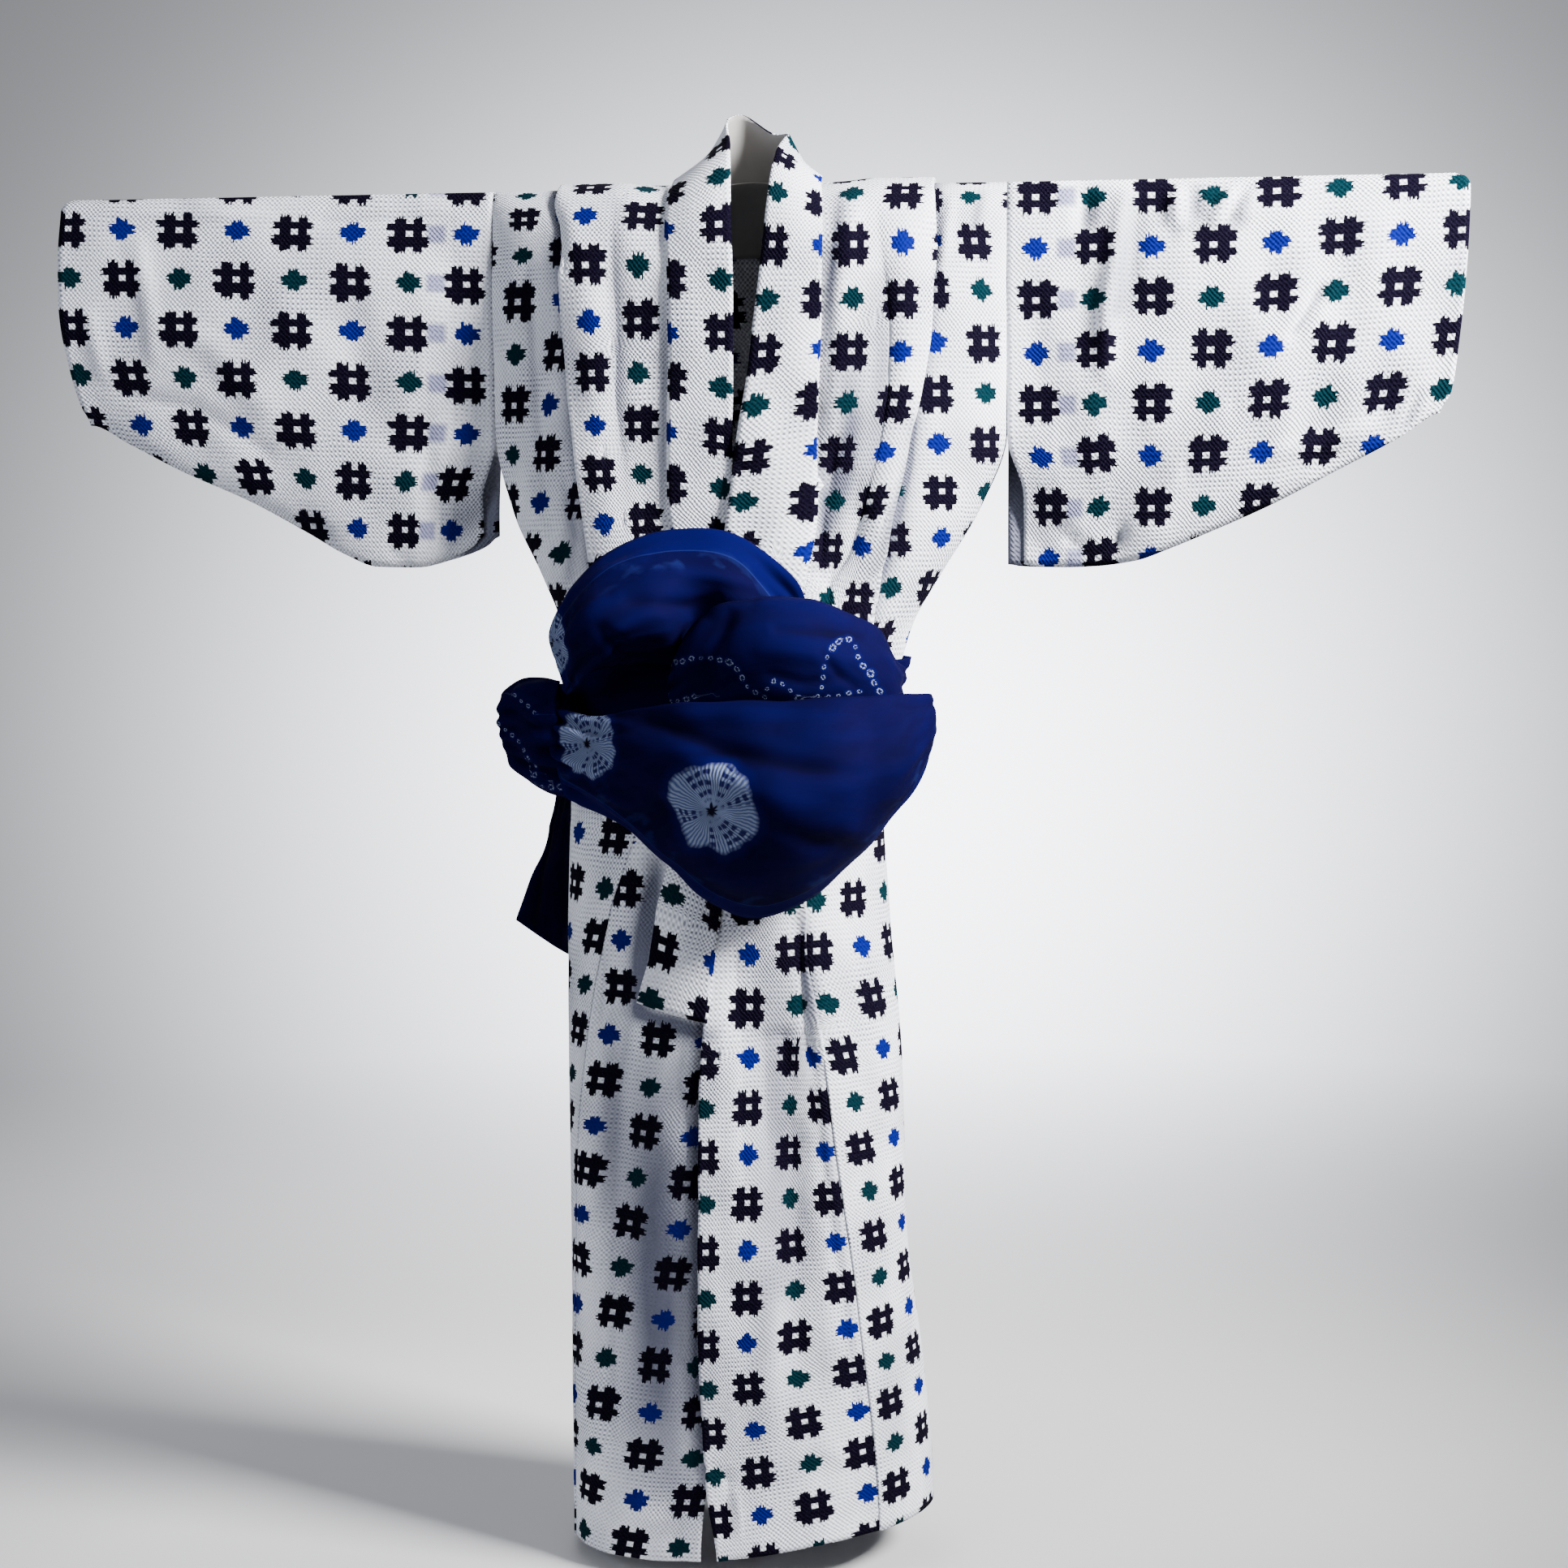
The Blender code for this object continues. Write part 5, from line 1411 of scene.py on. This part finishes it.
def sleeve(name, side):
    """One tube: up the front from the bottom seam, over the fold and down the back."""
    column = "left" if side > 0 else "right"
    along = np.linspace(0, 1, 78)[:, None]
    even = np.linspace(0, 1, 61)
    share = (even**1.35)[None, :]  # closer together near the fold
    drop = read(DROPS, column, mix(SLEEVE_START, float(read(WRISTS, column, 1.0)), along))
    x = mix(SLEEVE_START, read(WRISTS, column, share), along)
    z = -drop * share
    half = sleeve_half(x, z, drop)
    short = OPENING_SHOWS * (1 - along) ** 6 * ease(-z, ARMHOLE + 0.005, ARMHOLE + 0.06)
    sides = []
    for facing, here in ((FRONT, x + short), (BACK, x + 0 * z)):
        held = ease(here, 0.245, 0.275) * ease(-z, 0.0, 0.02) * ease(share, 1.0, 0.96)
        puff = CREASE_LIFT[column] * creased(here, z + 0 * here, SLEEVE_CREASES[column], facing)
        puff = puff + SLEEVE_UNEVEN * waver(here * 1.3, z, 0.05, 11 + side + 2 * facing)
        y = np.maximum(half + puff * held, np.minimum(half, WALL / 2 + SEAM_GAP / 2))
        sides.append(np.stack([side * here, facing * y, z + 0 * here], -1))
    places = np.concatenate([sides[0][:, ::-1], sides[1][:, 1:]], 1)
    # Painted shade on the back layer seen inside the open sleeve below the armhole, and on the front from
    # SLEEVE_SHADES
    opening = ease(along, 0.12, 0.06) * ease(-z, ARMHOLE, ARMHOLE + 0.03) + 0 * z
    in_front = creased(x + 0 * z, z + 0 * x, SLEEVE_SHADES[column], FRONT)
    shade = np.concatenate([in_front[:, ::-1], opening[:, 1:]], 1)
    down = run(sides[0])
    first, pitch = SLEEVE_ROWS[column]
    slope, beyond = SLEEVE_TILT[column]
    tilt = slope * (np.maximum(x - beyond, 0) if side > 0 else x - SLEEVE_MIDDLE)
    at_first = np.array([np.interp(first, -z[r], down[r]) for r in range(len(z))])[:, None]
    front_row = 2 + (down - at_first + tilt) / pitch
    table = SLEEVE_COLUMNS[column]
    marks = sorted(table)
    lines = [smooth([p[0] for p in table[k]], [p[1] for p in table[k]], z) for k in marks]
    wide = side * x + 0 * z
    front_column = marks[0] + (wide - lines[0]) / ACROSS
    for k, m, a, b in zip(marks, marks[1:], lines, lines[1:]):
        front_column = np.where(wide >= a, k + (m - k) * (wide - a) / (b - a), front_column)
    front_column = np.where(wide > lines[-1], marks[-1] + (wide - lines[-1]) / ACROSS, front_column)
    top_row = front_row[:, :1]
    back_row = top_row - down / pitch
    rows = np.concatenate([front_row[:, ::-1], back_row[:, 1:]], 1)
    columns = np.concatenate([front_column[:, ::-1], front_column[:, 1:]], 1)
    way = TURNED if side > 0 else UPRIGHT
    return cloth(name, places, np.stack([columns, rows], -1) * way, WALL, sleeve_cotton, shade=shade)


sleeves = [sleeve("sleeve_tube_left", 1), sleeve("sleeve_tube_right", -1)]
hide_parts("sleeve_left")
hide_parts("sleeve_right")

# %% [markdown]
# ## The soft obi
# The obi is a long scarf of thin dyed silk-like cloth, wound round the waist and tied at the right hip. Its
# loops are open hoops of a single layer. Blue dye was kept out of some places before dyeing: rows of tiny
# bound dots, and larger pleated rounds that opened into pale stars. Each loop carries its own map of
# lengths, so the creases can fan out of the knot and the dye can follow the cloth.

# %% Obi tables
OBI_TOP, OBI_BOTTOM = -0.436, -0.562
SIDE_LIFT, FRONT_LIFT = 0.0085, 0.0150
REST = OBI_WALL + 0.0006
KNOT = (-0.1712, -0.0769, -0.496)


def on_band(turn, z, out=0.0):
    """A place on the part wound round the waist, at a turn from the front middle."""
    turn = np.asarray(turn, float)
    side = np.where(np.cos(turn) >= 0, FRONT, BACK)
    angle = np.where(side == FRONT, turn, math.pi - turn)
    lift = mix(SIDE_LIFT, FRONT_LIFT, np.maximum(0.0, np.cos(turn)))
    length = np.where(side == FRONT, length_at(z, FRONT), length_at(z, BACK))
    return on_form(angle, length, lift + out)


def resting(*places):
    """A section of a loop that rests on the part wound round the waist."""
    return np.concatenate([on_band(math.radians(turn), z, REST) for turn, z in places])


def section(*values):
    """A section of a loop in mm: its top, middle and low place."""
    return np.array(values) / 1000


LOOP_UPPER = [
    section(-158, -106, -457, -162, -114, -461, -158, -108, -467),
    section(-166, -128, -425, -158, -148, -437, -140, -142, -454),
    section(-165, -140, -401, -145, -178, -419, -115, -172, -432),
    section(-148, -142, -366, -116, -196, -395, -88, -188, -415),
    section(-105, -136, -333, -73, -188, -371, -57, -176, -407),
    section(-57, -128, -318, -37, -160, -360, -37, -136, -401),
    section(-1, -124, -322, 2, -152, -361, -3, -144, -399),
    section(40, -122, -350, 31, -132, -378, 24, -134, -405),
    section(62, -119, -381, 49, -122, -402, 42, -124, -426),
    resting((28.0, -0.444), (26.0, -0.458), (24.0, -0.472)),
]
LOOP_RIGHT = [
    resting((-15.0, -0.446), (-15.0, -0.462), (-15.0, -0.478)),
    section(-51, -140, -425, -54, -152, -452, -52, -146, -484),
    section(-19, -160, -386, -15, -182, -427, -16, -164, -487),
    section(21, -164, -379, 28, -196, -419, 25, -170, -489),
    section(61, -158, -380, 69, -192, -423, 66, -168, -487),
    section(97, -142, -391, 105, -174, -435, 103, -156, -485),
    section(129, -112, -408, 135, -140, -447, 133, -132, -480),
    section(140, -78, -437, 145, -90, -455, 143, -92, -474),
    resting((78.0, -0.445), (78.0, -0.457), (78.0, -0.469)),
]
LOOP_LOWER = [
    section(-161, -104, -482, -166, -109, -518, -157, -98, -564),
    section(-126, -130, -485, -125, -150, -534, -122, -128, -575),
    section(-83, -158, -477, -79, -190, -541, -82, -146, -599),
    section(-28, -182, -471, -22, -226, -556, -30, -152, -648),
    section(31, -195, -468, 40, -244, -561, 17, -158, -666),
    section(85, -190, -466, 92, -236, -555, 71, -154, -645),
    section(130, -170, -466, 138, -206, -540, 121, -142, -600),
    section(160, -138, -465, 166, -160, -515, 159, -118, -552),
    section(175, -95, -470, 176, -100, -495, 170, -90, -522),
    resting((66.0, -0.496), (66.0, -0.516), (66.0, -0.538)),
]
KNOT_LOOP = [
    section(-167, -98, -454, -172, -108, -496, -160, -88, -564),
    section(-185, -92, -450, -193, -106, -496, -182, -84, -560),
    section(-209, -78, -455, -212, -86, -495, -203, -74, -549),
    section(-226, -62, -474, -229, -64, -494, -223, -60, -531),
    resting((-88.0, -0.482), (-88.0, -0.496), (-88.0, -0.516)),
]
TAIL = [
    resting((-118.0, -0.536), (-106.0, -0.536), (-94.0, -0.536)),
    section(-182, 70, -616, -190, 40, -612, -203, 12, -610),
    section(-185, 80, -665, -198, 46, -657, -218, 12, -649),
    section(-185, 86, -738, -197, 48, -725, -233, 10, -691),
]

# %% Dyed obi cloth
# BRIGHT and DEEP are paler and darker dye, and also serve as painted highlight on fold ridges and painted
# shade in fold hollows
BLUE, DEEP, BRIGHT = (0.0008, 0.0, 0.022), (0.0003, 0.0, 0.007), (0.0014, 0.0004, 0.052)
UNDYED, VEIL = (0.17, 0.205, 0.29), (0.010, 0.022, 0.12)
DOT_PITCH, DOT_RING, DOT_SHIFT = 0.0090, (0.0015, 0.0029), 0.0030
SPOKES, RINGS, ROUND_PLEATS = 24.0, 5.2, 64.0
BAND_PALER, SPECKS_BESIDE, STITCHES = 0.45, 0.22, 0.30  # how strongly each one shows along an edge


def star(look, base):
    """A pleated and bound round, on a map where its rim is at 1: pale pleats, webbed in some sectors."""
    x, y = look.map("rosette")
    r = (x * x + y * y).sum("SQRT")
    angle = y.sum("ARCTAN2", x)
    cos, sin = x / (r + 0.001), y / (r + 0.001)
    rim = look.cloud(cos, sin, 1.1, 2.0) * 0.75 + 0.55
    disc = 1 - r.above(rim, 0.10)
    halo = 1 - r.above(rim * 1.12, 0.30)
    webbed = look.cloud(cos, sin, 1.9, 0.0, z=2.6).above(0.5, 0.05)
    wander = look.cloud(x, y, 3.0, 2.0) * 1.2
    spoke = ((angle * SPOKES + wander * 3.0).sum("SINE")).above(0.72, 0.5)
    ring = (r * RINGS + wander).sum("FRACT").inside(0.30, 0.86, 0.16)
    block = webbed * ring * (1 - spoke) * r.above(0.22, 0.1)
    pleat = (angle * ROUND_PLEATS + wander * 9.0).sum("SINE") * 0.5 + 0.5
    pale = look.tint(pleat * 0.80, UNDYED, VEIL)
    colour = look.tint(halo * 0.7, base, BRIGHT)
    colour = look.tint(disc, colour, pale)
    colour = look.tint(disc * block * 0.92, colour, look.tint(wander * 0.5, BRIGHT, BLUE))
    middle = 1 - r.above(look.cloud(cos, sin, 2.5, 1.0, z=5.0) * 0.26 - 0.02, 0.05)
    return look.tint(middle, colour, DEEP), pleat * disc


def dots(look, base):
    """Small bound dots along a line, on a map of length along it and distance off it."""
    along, off = look.map("chain")
    number = nearest(along / DOT_PITCH)
    shift = look.chance(number, 2.0) - 0.5
    here = along - number * DOT_PITCH
    off = off - shift * DOT_SHIFT
    r = (here * here * 0.8 + off * off * 1.3).sum("SQRT") * (look.chance(number, 7.0) * 0.8 + 0.85)
    broken = look.cloud(along * 700, off * 700, 1.0, 1.0).above(0.50, 0.16)
    ring = r.inside(DOT_RING[0], DOT_RING[1], 0.0007) * broken
    halo = 1 - r.above(0.0045, 0.003)
    return look.tint(ring * 0.85, look.tint(halo * 0.6, base, BRIGHT), UNDYED), ring


def dyed_cloth(name, top_band=0.0, low_band=0.0, starry=False, dotted=False):
    """The obi's blue. A band of single cloth along an edge is paler than the doubled part beside it."""
    look = Look(name, Roughness=0.85, Specular_IOR_Level=0.03)
    along, across = look.map("print")
    clouds = look.cloud(along, across, 13.0, 3.0)
    streak = look.cloud(along * 8.0, across * 60.0, 1.0, 3.0)
    colour = look.tint(clouds.above(0.5, 0.45) * 0.7, BLUE, DEEP)
    colour = look.tint(streak.above(0.60, 0.3) * 0.10, colour, BRIGHT)
    fold, _ = look.map("folds")
    # Painted highlight on the ridges of folds, and painted shade in their hollows
    colour = look.tint((fold - 0.5).above(0.24, 0.40) * 0.16, colour, BRIGHT)
    colour = look.tint((0.5 - fold).above(0.20, 0.34) * 0.70, colour, DEEP)
    from_top, from_low = look.map("edges")
    patch = look.cloud(along * 34.0, across * 50.0, 1.0, 3.0)
    for edge, wide in ((from_top, top_band), (from_low, low_band)):
        if wide:
            band_here = 1 - edge.above(wide, 0.0012)
            stitched = edge.inside(wide - 0.0006, wide + 0.0006, 0.0008)
            colour = look.tint(band_here * BAND_PALER, colour, BRIGHT)
            beside = edge.inside(wide, wide + 0.020, 0.012) * patch.above(0.60, 0.12)
            colour = look.tint(beside * SPECKS_BESIDE, colour, VEIL)
            colour = look.tint(stitched * STITCHES, colour, VEIL)
    height = look.cloud(along * 26.0, across * 80.0, 1.0, 4.0)
    if starry:
        colour, pleats = star(look, colour)
        height = height + pleats * 0.8
    if dotted:
        colour, ring = dots(look, colour)
        height = height + ring * 0.8
    look.set("Base Color", colour)
    look.set("Normal", look.bump(height, 0.0011, 0.55))
    return look


plain_dye = dyed_cloth("dyed_obi_cloth")
star_dye = dyed_cloth("dyed_obi_stars", low_band=0.021, starry=True)
rim_dye = dyed_cloth("dyed_obi_rim", top_band=0.031, starry=True)
dot_dye = dyed_cloth("dyed_obi_dots", dotted=True)

# %% Stars, dots and creases of the bow
Star = namedtuple("Star", "x z wide tall")
STARS_LOWER = [Star(-0.0092, -0.5615, 0.043, 0.043), Star(-0.1345, -0.5105, 0.030, 0.033)]
STARS_UPPER = [Star(-0.1640, -0.4190, 0.019, 0.029)]


def dot_lines(*lines):
    """Lines that dots follow, each from (x, z) in mm."""
    return [[(x / 1000, z / 1000) for x, z in line] for line in lines]


DOTS_RIGHT = dot_lines(
    [(-87, -462), (-76, -454), (-67, -447), (-55, -435), (-38, -432), (-11, -431), (2, -435), (8, -440),
     (12, -446), (14, -452), (19, -459), (27, -463), (37, -470)],
    [(78, -465), (83, -452), (85, -439), (88, -428), (92, -418), (101, -414), (109, -420), (113, -432),
     (122, -445), (127, -457), (133, -466)],
    [(87, -465), (101, -463), (119, -462)],
    [(27, -463), (42, -450), (53, -458), (62, -465)],
    [(-70, -468), (-65, -458), (-57, -473), (-33, -464)],
)
DOTS_KNOT = dot_lines(
    [(-229, -495), (-205, -514), (-192, -536), (-195, -552), (-170, -554), (-139, -548)],
    [(-211, -468), (-197, -477), (-189, -485)],
)
BOW_CREASES = {
    "lower": creases(FRONT, [
        (9, -7.5, (-114, -485), (-58, -489), (-5, -508), (60, -521), (126, -532)),
        (14, 6, (-105, -502), (-31, -518), (50, -551), (117, -574)),
        (10, -5.3, (-125, -534), (-71, -556), (-18, -593), (24, -624)),
        (12, -6, (115, -468), (128, -494), (132, -536), (117, -580)),
        (9, 4.5, (151, -475), (157, -517), (141, -560)),
        (8, 4.5, (-137, -531), (-98, -570), (-54, -615)),
        (9, -4.5, (35, -570), (83, -592), (114, -599)),
        (6, 3.7, (-74, -484), (3, -482), (82, -477)),
        (8, 3.7, (48, -492), (104, -501), (145, -495)),
    ]),
    "right": creases(FRONT, [
        (8, 6, (-25, -395), (-36, -424), (-42, -460)),
        (7, -6, (2, -386), (-10, -423), (-16, -463)),
        (6, -6, (38, -406), (80, -408), (121, -413)),
        (7, 4.5, (23, -384), (72, -388), (106, -403)),
        (8, 4.5, (24, -423), (74, -427), (128, -438)),
        (5, -3.7, (31, -444), (67, -453), (101, -450)),
        (4.5, -3.7, (81, -423), (95, -445), (115, -460)),
    ]),
    "upper": creases(FRONT, [
        (8, -7.5, (-117, -399), (-100, -419), (-91, -434)),
        (8, 6, (-109, -375), (-133, -394), (-150, -417)),
        (7, -6, (-95, -378), (-38, -386), (-9, -377)),
        (6, 4.5, (-150, -377), (-115, -355), (-74, -343)),
        (7, -4.5, (18, -352), (39, -369), (57, -386)),
        (6, 3.7, (-58, -355), (-16, -360), (19, -368)),
        (5, -4.5, (-158, -452), (-158, -424), (-146, -398)),
    ]),
    "tail": creases(FRONT, [
        (5, 6, (-189, -588), (-202, -643), (-211, -706)),
        (5, -6, (-200, -602), (-213, -650), (-223, -697)),
        (5, -4.5, (-185, -597), (-192, -662), (-196, -717)),
    ]),
    "knot": creases(FRONT, [
        (4.5, -5, (-226, -482), (-206, -489), (-182, -502)),
        (5, 4.5, (-222, -506), (-204, -516), (-186, -520)),
        (4, 4.5, (-212, -464), (-196, -470), (-178, -476)),
        (4.5, -4, (-214, -530), (-198, -536), (-176, -540)),
    ]),
}


# %% Loops
def hoop(table, along, across):
    """A sheet through a loop's sections, each bent through its top, middle and low place."""
    table = np.array([np.asarray(row, float) for row in table]).reshape(-1, 3, 3)
    ribs = through(table, along)
    top, middle, low = ribs[:, None, 0], ribs[:, None, 1], ribs[:, None, 2]
    turn = 2 * middle - (top + low) / 2
    t = np.linspace(0, 1, across + 1)[None, :, None]
    return (1 - t) ** 2 * top + 2 * t * (1 - t) * turn + t * t * low


def gathered(places, spot, steps, squeeze):
    """Rows that draw a loop's first row together into the knot."""
    first, second = places[0], places[1]
    middle = first.mean(0)
    target = np.array(spot) + squeeze * (first - middle)
    lead = (first - second) * 2.0
    t = np.linspace(0, 1, steps, endpoint=False)[:, None, None]
    bend = (1 - t) ** 2 * target + 2 * t * (1 - t) * (first + lead) + t * t * first
    return np.concatenate([bend, places])


FALLS_TO = -0.446  # the height at which a loop's inner cloth meets the wound part


def fallen(places, count):
    """Columns that let the loop's inner cloth fall back to the part wound round the waist."""
    low = places[:, -1]
    share = np.linspace(0, 1, len(low))
    weight = np.sin(math.pi * share)[:, None] ** 0.6
    x = low[:, 0]
    length = length_at(np.full(len(x), FALLS_TO), FRONT)
    band = on_form(angle_of(x, length), length, np.full(len(x), FRONT_LIFT + REST))
    t = np.linspace(0, 1, count + 1)[1:][None, :, None]
    target = mix(low, band, weight)[:, None]
    return np.concatenate([places, mix(low[:, None], target, ease(t, -0.3, 1.1))], 1)


def lines_map(places, lines):
    """For each line of dots, length along it and distance off it, seen from the front."""
    x, z = places[..., 0], places[..., 2]
    stack = []
    for line in lines:
        off, way = off_path(x, z, line)
        total = np.linalg.norm(np.diff(np.array(line), axis=0), axis=1).sum()
        side = np.sign(z - np.interp(x, *np.array(sorted(line)).T))
        stack.append(np.stack([way * total, off * np.where(side == 0, 1, side)], -1))
    return stack


Pleats = namedtuple("Pleats", "count deep reach seed")
CREASE_SHARE, CRUMPLE = 0.7, 0.0012  # how strongly the creases act here, and the cloth's unevenness


def soft_piece(name, table, along, across, finish, by_hand, pleats, stars=(), lines=(), gather=None, falls=0):
    """One part of the bow, creased along its listed creases and pleated where it is drawn into the knot."""
    places = hoop(table, along, across)
    if gather:
        places = gathered(places, *gather)
    whole = run(places, 1)
    if falls:
        places = fallen(places, falls)
    x, z = places[..., 0], places[..., 2]
    gone, over = run(places, 0), run(places, 1)
    middle = gone[:, across // 2 : across // 2 + 1]
    t = over / np.maximum(whole[:, -1:], 1e-6)
    chance = np.random.default_rng(pleats.seed)
    fan = np.zeros(places.shape[:2])
    for n in range(4):
        pace, shift = pleats.count * chance.uniform(0.6, 1.5), chance.uniform(0, 6.3)
        fan += np.sin(pace * math.pi * (t + 0.05 * np.sin(middle * 30 + n)) + shift) / 2
    drawn = np.exp(-middle / pleats.reach) + 0.16
    out = pleats.deep * fan * drawn + CREASE_SHARE * creased(x, z, by_hand)
    out = out + CRUMPLE * waver(x, z, 0.035, pleats.seed)
    end = ease(middle, 0.0, 0.006) * (1 - ease(middle / middle[-1], 0.95, 1.0))
    places = places + facing_out(places, np.array((0.0, 0.1, -0.5))) * (out * end)[..., None]
    prints = np.stack([gone, over], -1)
    edges = np.stack([over, np.abs(whole[:, -1:] - over)], -1)
    maps = {"edges": [edges]}
    if stars:
        maps["rosette"] = [np.stack([(x - p.x) / p.wide, (z - p.z) / p.tall], -1) for p in stars]
    if lines:
        maps["chain"] = lines_map(places, lines)
    return cloth(name, places, prints, OBI_WALL, finish, maps=maps)


INTO_KNOT = (-0.170, -0.100, -0.496)  # the place in the knot that loops are gathered to
loops = {
    "obi_loop_upper": soft_piece(
        "bow_loop_upper", LOOP_UPPER, 12, 44, rim_dye, BOW_CREASES["upper"],
        Pleats(7, 0.0022, 0.10, 21), stars=STARS_UPPER, falls=16),
    "obi_loop_right": soft_piece(
        "bow_loop_right", LOOP_RIGHT, 12, 40, dot_dye, BOW_CREASES["right"],
        Pleats(6, 0.0020, 0.08, 22), lines=DOTS_RIGHT),
    "obi_loop_lower": soft_piece(
        "bow_loop_lower", LOOP_LOWER, 12, 64, star_dye, BOW_CREASES["lower"],
        Pleats(11, 0.0030, 0.09, 23), stars=STARS_LOWER, gather=(INTO_KNOT, 12, 0.30)),
    "obi_knot_loop": soft_piece(
        "bow_knot_loop", KNOT_LOOP, 14, 44, dot_dye, BOW_CREASES["knot"],
        Pleats(9, 0.0026, 0.05, 24), lines=DOTS_KNOT, gather=(INTO_KNOT, 8, 0.30)),
    "obi_tail": soft_piece(
        "obi_tail_end", TAIL, 18, 34, plain_dye, BOW_CREASES["tail"], Pleats(6, 0.0020, 0.12, 25)),
}
for node, piece in loops.items():
    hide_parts(node)


# %% Wound part and knot
WOUND_RIDGE = 0.0016  # height of the slack ridges that run round the wound part
WAIST_ROUND, KNOT_ROUND = 0.13, (0.025, 0.035)  # radii, to lay the dye out at its real size


def obi_wound():
    """The part wound round the waist, once and a little slack."""
    around = np.linspace(0, 2 * math.pi, 241)[:-1][None, :]
    z = np.linspace(OBI_TOP, OBI_BOTTOM, 44)[:, None]
    edge = ease(z, OBI_BOTTOM, OBI_BOTTOM + 0.012) * (1 - ease(z, OBI_TOP - 0.012, OBI_TOP))
    level_out = WOUND_RIDGE * np.sin(z * 420 + 3.0 * np.sin(around * 2) + 2.0 * np.sin(around * 3 + 1))
    level_out = level_out * (0.6 + 0.4 * np.sin(around * 1.0 + 0.5)) - 0.0006
    places = on_band(around + 0 * z, z + 0 * around, level_out * edge)
    turn = np.concatenate([around, [[2 * math.pi]]], 1)
    prints = np.stack([turn * WAIST_ROUND + 0 * z, z + 0 * turn], -1)
    edges = np.stack([OBI_TOP - z + 0 * turn, z - OBI_BOTTOM + 0 * turn], -1)
    return cloth("obi_wound_band", places, prints, OBI_WALL, plain_dye, closed=True, maps={"edges": [edges]})


KNOT_HALF = np.array((0.0205, 0.0255, 0.037))  # half its width, depth and height


def obi_knot():
    """The knot: a crumpled lump, wrapped across by one turn of the cloth."""
    around = np.linspace(0, 2 * math.pi, 97)[:-1][None, :]
    down = np.linspace(0.04, math.pi - 0.04, 60)[:, None]
    x, y, z = np.sin(down) * np.cos(around), np.sin(down) * np.sin(around), np.cos(down) + 0 * around
    squeeze = 1 - 0.25 * x**2
    pleat = 0.09 * np.sin(around * 7 + 4 * np.cos(down)) + 0.05 * np.sin(around * 13 + 5 * down)
    pleat = 1 + pleat * np.sin(down)
    lump = np.stack([x * pleat, y * squeeze * pleat, z * squeeze], -1)
    places = lump * KNOT_HALF + np.array(KNOT)
    turn = np.concatenate([around, [[2 * math.pi]]], 1)
    prints = np.stack([turn * KNOT_ROUND[0] + 0 * down, down * KNOT_ROUND[1] + 0 * turn], -1)
    edges = np.full(prints.shape, 0.5)
    return cloth("obi_knot_wrap", places, prints, OBI_WALL, plain_dye, closed=True, maps={"edges": [edges]})


wound, knot = obi_wound(), obi_knot()
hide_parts("obi_band")
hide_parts("obi_knot")
